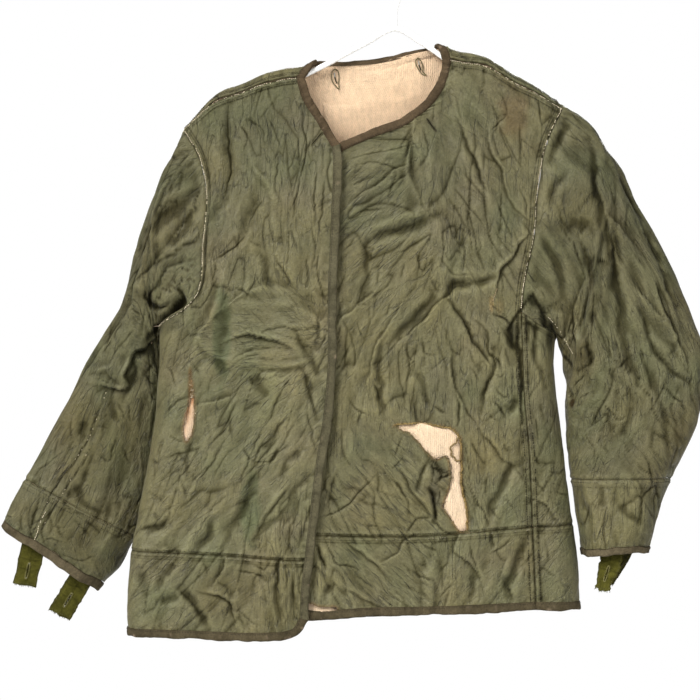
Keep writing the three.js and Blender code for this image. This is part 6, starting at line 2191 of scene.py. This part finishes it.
# Buttonholes: one in each front, two in the back's lining, one in each tab.
for name, piece, path, width, colour in (
    ("right_front", right_front, "-88,-220 -104,-239", 4.6, (0.062, 0.055, 0.024)),
    ("left_front", left_front, "46,-203 59,-221", 4.2, (0.045, 0.040, 0.020)),
):
    threads[name].buttonhole(*lay(xz(path), [piece]), width, colour, 0.36)
for rim, slit in (
    ("-72.8,-139 -76,-142 -77.5,-148 -76,-156 -72,-161 -68,-165 -68,-157 -67.6,-148 -69,-142 "
     "-72.8,-139", "-73.5,-144 -73,-150 -70.5,-158"),
    ("35,-124.5 32,-129 33.5,-136 37.5,-142 40.5,-146 46,-147.5 41.5,-143 41.5,-137 39,-129 "
     "35,-124.5", "36,-129 36.5,-134 39,-141"),
):
    # Each: its rim of olive thread, a dark strand in the slit as painted shadow, and a pale strand
    # lifted over the slit's top as a painted highlight.
    for path, radius, colour, lift in (
        (xz(rim), 0.75, (0.115, 0.100, 0.042), 1.2), (xz(slit), 0.9, (0.028, 0.025, 0.012), 1.2),
        (xz(slit)[:2], 0.5, (0.5, 0.48, 0.42), 2.4),
    ):
        line, normals = lay(path, linings["back_lining"][:1], 1.3, inner=True)
        colour = np.array(colour) * shades(np.random.default_rng(61), 0.3, len(line) - 1)
        threads["back_lining"].strand(line + normals * lift, normals, radius, colour)


# Frayed ends along a tear.
def fray(name, piece, edge, colour, count, length, seed):
    rng = np.random.default_rng(seed)
    for k in rng.integers(0, len(edge), count):
        x, z = edge[k]
        turn, reach = rng.uniform(0, 2 * math.pi), length * rng.uniform(0.4, 1.2)
        tip = (x + reach * math.cos(turn), z + reach * math.sin(turn))
        middle = [(a + b) / 2 + rng.uniform(-0.8, 0.8) for a, b in zip((x, z), tip)]
        line, normals = lay([(x, z), middle, tip], [piece], 1.2)
        line = line + normals * np.linspace(0.2, 1.2, len(line))[:, None]
        threads[name].strand(line, normals, 0.22, colour, 0.05)


fray("left_front", left_front, tear_edge, GOLD, 110, 4.0, 401)
fray("left_front", left_front, tear_edge, GOLD * 0.5, 70, 3.5, 402)
fray("right_front", right_front, slit_edge, RUSTY, 40, 3.0, 403)
fray("right_front", right_front, slit_edge, OLD_CREAM, 20, 3.0, 404)
# A loose loop of thread at the tear, and the rolled thread along its rim; the dark strand round the
# flap's edge is painted shadow.
loop = xz("""
    89,-617 86,-620 85,-625 79.5,-628 77,-633 79,-637 77.5,-641 82,-643.5 83.5,-647.5 87.5,-649
    91,-646 90,-641.5 92,-638
""")
line, normals = lay(loop, [left_front], 1.6)
line = line + normals * 1.6 + np.random.default_rng(87).uniform(-0.5, 0.5, line.shape)
threads["left_front"].strand(line, normals, 1.25, GOLD * 0.85)
for path, colour, radius in (
    ("87,-614 91,-626 91,-640 92,-657 91,-675 93,-690 97,-705 99,-720 99,-737",
     (0.150, 0.100, 0.030), 1.5),
    ("4,-602 16,-600.5 36,-600 51,-601.5 68,-604.5 80,-608 87,-615", (0.18, 0.125, 0.040), 1.0),
    ("58,-646 65,-643.5 73,-642.5 76,-651 78,-666 77,-679", (0.06, 0.05, 0.028), 0.5),
):
    line, normals = lay(xz(path), [left_front], 1.2)
    rng = np.random.default_rng(88)
    line = line + rng.uniform(-1, 1, line.shape) + normals * 0.4
    colour = np.array(colour) * shades(rng, 0.35, len(line) - 1)
    threads["left_front"].strand(line, normals, radius, colour)


# ---- Tabs ----
# A doubled strip of cotton with a buttonhole. `narrow` draws in its free end, which is frayed by
# how `ragged` it is.
def tab_piece(name, top, lean, turn, length, seed, narrow, tone, ragged):
    half, inside, thick, slot_half = TAB["width"] / 2, TAB["inside"], TAB["thickness"], TAB["slot"] / 2
    us, vs = np.linspace(-half, half, 33), np.linspace(inside + 5, -length, 62)
    u, v = np.meshgrid(us, vs)
    in_slot = np.abs(v + length / 2) < slot_half
    slit = (np.abs(u) < 0.5) & in_slot
    u = np.where(in_slot & (np.abs(u) > 0.5) & (np.abs(u) < 1.5), 0.05 * np.sign(u), u)
    down = smoothstep(-4, -length, v)
    curl = 1.3 * smoothstep(0, 1, (inside - v) / (inside + length)) * (u / half) ** 2
    curl = curl + 0.5 * soft_noise(u + seed, v, 13, seed)
    curl = curl + 1.6 * smoothstep(0, -length, v) * ripple(v, 30, seed + 1)
    curl = curl + 0.7 * soft_noise(u / 3, v + 0.3 * u, 5, seed + 7) * smoothstep(2, -4, v)
    wear_and_shade = ragged * ripples(v, (0.9, 9, seed + 2), (0.5, 3, seed + 8))
    wide = u * (1 - 0.02 * down - abs(narrow) * down) - half * narrow * down
    wide = wide + wear_and_shade * (u / half) * smoothstep(0, -8, v)
    end = 1.4 * ripple(u, 7, seed + 3) + (ragged - 0.6) * 1.2 * ripple(u, 3, seed + 9)
    end = v - np.maximum(end, -3) * smoothstep(-length + 6, -length, v)

    def place(wide, off, high):
        a, b = math.radians(turn), math.radians(lean)
        px = wide * math.cos(a) - off * math.sin(a)
        py = wide * math.sin(a) + off * math.cos(a)
        x, z = px * math.cos(b) + high * math.sin(b), high * math.cos(b) - px * math.sin(b)
        return np.stack([top[0] + x, top[1] + py, top[2] + z], -1)

    rim = np.minimum(half - np.abs(u), v + length)
    body = thick / 2 * (0.55 + 0.45 * smoothstep(0, 1.6, rim)) - 0.28 * hump(rim - 2.6, 0.6)
    front, behind = place(wide, curl - body, end), place(wide, curl + body, end)
    quads = grid_faces(~slit)
    edges = {}  # the edges that only one quad has, each with a wall from front to back
    for quad in quads.tolist():
        for a, b in zip(quad, quad[1:] + quad[:1]):
            if not edges.pop((b, a), None):
                edges[(a, b)] = True
    walls = np.array([(a, a + u.size, b + u.size, b) for a, b in edges])
    dirt = soft_noise(u + seed, v, 9, seed + 4) + 0.5 * soft_noise(u, v + seed, 3, seed + 5)
    # `tone` darkens the back tab's cloth and thread as painted shade.
    dye = tone * TAB_GREEN * (1 + 0.34 * dirt[..., None])
    dye = dye * (1 - 0.25 * hump(rim, 1.2))[..., None]
    across = v + 0.42 * length + 2.5 * ripple(u, 12, seed + 6)
    lines = 0.35 * hump(across, 1.1) + 0.3 * hump(across - 0.33 * length, 0.9)
    # The middle of the slot is painted dark as the slit's shadow.
    lines = lines + np.where(in_slot, 0.7, 0.25) * hump(u, 1.0)
    dye = (dye * (1 - lines)[..., None]).reshape(-1, 3)
    obj = mesh_object(
        name + "_cloth", np.concatenate([front.reshape(-1, 3), behind.reshape(-1, 3)]),
        np.concatenate([quads[:, ::-1], quads + u.size, walls]), tab_look,
        uv=np.stack([[u, u], [v, v]], -1), dye=np.concatenate([dye, dye]),
    )
    put(name, obj)
    thread = Thread()
    slot_rows = np.nonzero(np.abs(vs + length / 2) < slot_half + 2.5)[0]
    for face, sign in ((front, -1.0), (behind, 1.0)):
        out = place(np.zeros(1), np.array([sign]), np.zeros(1)) - place(*np.zeros((3, 1)))
        line = face[slot_rows, len(us) // 2]
        colour = (0.10 * tone, 0.090 * tone, 0.026 * tone)
        thread.buttonhole(line, np.broadcast_to(out, line.shape), 5.8, colour, 0.32, slit=False)
        for line, more in ((face[:, 2], 0), (face[:, -3], 0), (face[-4], 1)):
            thread.row(line, np.broadcast_to(out, line.shape), TAB_THREAD, seed=seed + more, rise=0.15)
    rng = np.random.default_rng(seed)
    foot = behind[-1][rng.integers(0, len(us), 22)]
    tips = foot + np.stack([rng.uniform(*ends, 22) for ends in ((-2, 2), (-1, 1), (-2.4, -0.6))], -1)
    thread.bars(foot, tips, np.broadcast_to(out, tips.shape), 0.25, (0.050, 0.045, 0.012), 0.1)
    thread.build(name + "_stitching", "tab")


for number, (name, top, lean, turn, length, narrow, tone, ragged) in enumerate(TABS):
    tab_piece(name, top, lean, turn, length, 500 + 20 * number, narrow, tone, ragged)


# ---- Hanger ----
def tube(spots, sides=20):
    count = int(length_of(spots) / 2.5)
    line = through(spots)(np.linspace(0, 1, count))
    way = unit(np.gradient(line, axis=0))
    caps = [(math.cos(a), math.sin(a)) for a in np.radians([20, 40, 60, 78])]
    rings = [(line[0] - way[0] * TUBE * s, way[0], c) for c, s in caps][::-1]
    rings += [(line[k], way[k], 1.0) for k in range(count)]
    rings += [(line[-1] + way[-1] * TUBE * s, way[-1], c) for c, s in caps]
    turn = 2 * math.pi * np.arange(sides) / sides
    return np.array([
        np.stack([c[0] - w[1] * TUBE * r * np.cos(turn), TUBE * r * np.sin(turn),
                  c[1] + w[0] * TUBE * r * np.cos(turn)], -1)
        for c, w, r in rings
    ])


def fill_ends(mesh):
    work = bmesh.new()
    work.from_mesh(mesh)
    bmesh.ops.holes_fill(work, edges=[e for e in work.edges if e.is_boundary])
    bmesh.ops.recalc_face_normals(work, faces=work.faces)
    work.to_mesh(mesh)
    work.free()


hook_radius = HOOK_INSIDE + TUBE
hook = [
    (hook_radius * math.cos(a), hook_radius * math.sin(a) - HOOK_INSIDE)
    for a in map(math.radians, np.linspace(-40, 205, 13))
]
for name, line in (("hanger_arms", ARMS), ("hanger_hook", [*STEM, *hook])):
    points = tube(line)
    obj = mesh_object(name + "_tube", points, all_faces(points, True), hanger_look)
    fill_ends(obj.data)
    put(name, obj)

for name, thread in threads.items():
    if thread.count:
        slot = "lining" if "lining" in name else "binding" if "binding" in name else "shell"
        thread.build(name + "_stitching", slot)


for side, (arm, split) in arms.items():
    upper, lower = closed_loop(arm["point"][:split]), closed_loop(arm["point"][split:])
    name = f"{side}_cuff_binding"
for name, _, _, _, length, *_ in TABS:
    side = name.split("_")[0]

# ---- Camera, light and floor ----
SENSOR = 36
MIDDLE = (-0.05, 0, -0.48)  # of the garment, in metres
FLOOR = {"radius": 2.6, "height": -1.9, "corners": 96}
scene = bpy.context.scene
scene.view_settings.view_transform = "Standard"


def add_object(name, data):
    obj = bpy.data.objects.new(name, data)
    scene.collection.objects.link(obj)
    return obj


# A light that stands off along `way` and shines back down it.
def add_light(name, kind, way, **settings):
    data = bpy.data.lights.new(name, kind)
    for key, value in settings.items():
        setattr(data, key, value)
    obj = add_object(name, data)
    flat = math.hypot(way[0], way[1])
    obj.rotation_euler = (math.atan2(flat, way[2]), 0, math.atan2(way[1], way[0]) + math.pi / 2)
    return obj


camera_data = bpy.data.cameras.new("camera")
camera_data.sensor_width = SENSOR
camera_data.lens = SENSOR * VIEW_DISTANCE / VIEW_WIDTH
camera = add_object("camera", camera_data)
camera.location = (VIEW_CENTRE[0] / 1000, -VIEW_DISTANCE / 1000, VIEW_CENTRE[2] / 1000)
camera.rotation_euler = (math.pi / 2, 0, 0)
scene.camera = camera

# Soft light all round, and a bright wall far behind the garment.
world = bpy.data.worlds.new("studio")
world.use_nodes = True
sky = world.node_tree
parts = add_node(sky, "ShaderNodeSeparateXYZ", {"Vector": place_on(sky, "Generated")})
strength = ranged(sky, parts.outputs["Y"], 0.8, 0.97, 0.42, 1.0)
sky.links.new(strength, sky.nodes["Background"].inputs["Strength"])
sky.nodes["Background"].inputs["Color"].default_value = (1, 1, 1, 1)
scene.world = world

add_light("key", "SUN", (-2.1, -2.2, 2.1), energy=6.2, angle=math.radians(32))
add_light("rear", "SUN", (0.3, 2.6, 0.9), energy=2.6, angle=math.radians(25))
fill_place = (2.2, -2.6, 0.6)
way = np.array(fill_place) - np.array(MIDDLE)
add_light("fill", "AREA", way, size=1.8, energy=72, shape="DISK").location = fill_place

mat, tree, join = new_material("pale_floor", 0.9, Specular_IOR_Level=0.1)
join(Base_Color=plain_colour(tree, (0.8, 0.8, 0.79), 3, 0.98, 1.02))
mesh = bpy.data.meshes.new("floor")
around = np.linspace(0, 2 * math.pi, FLOOR["corners"], endpoint=False)
spots = [(FLOOR["radius"] * math.cos(a), FLOOR["radius"] * math.sin(a), FLOOR["height"]) for a in around]
mesh.from_pydata(spots, [], [range(len(spots))])
mesh.materials.append(mat)
add_object("floor", mesh)
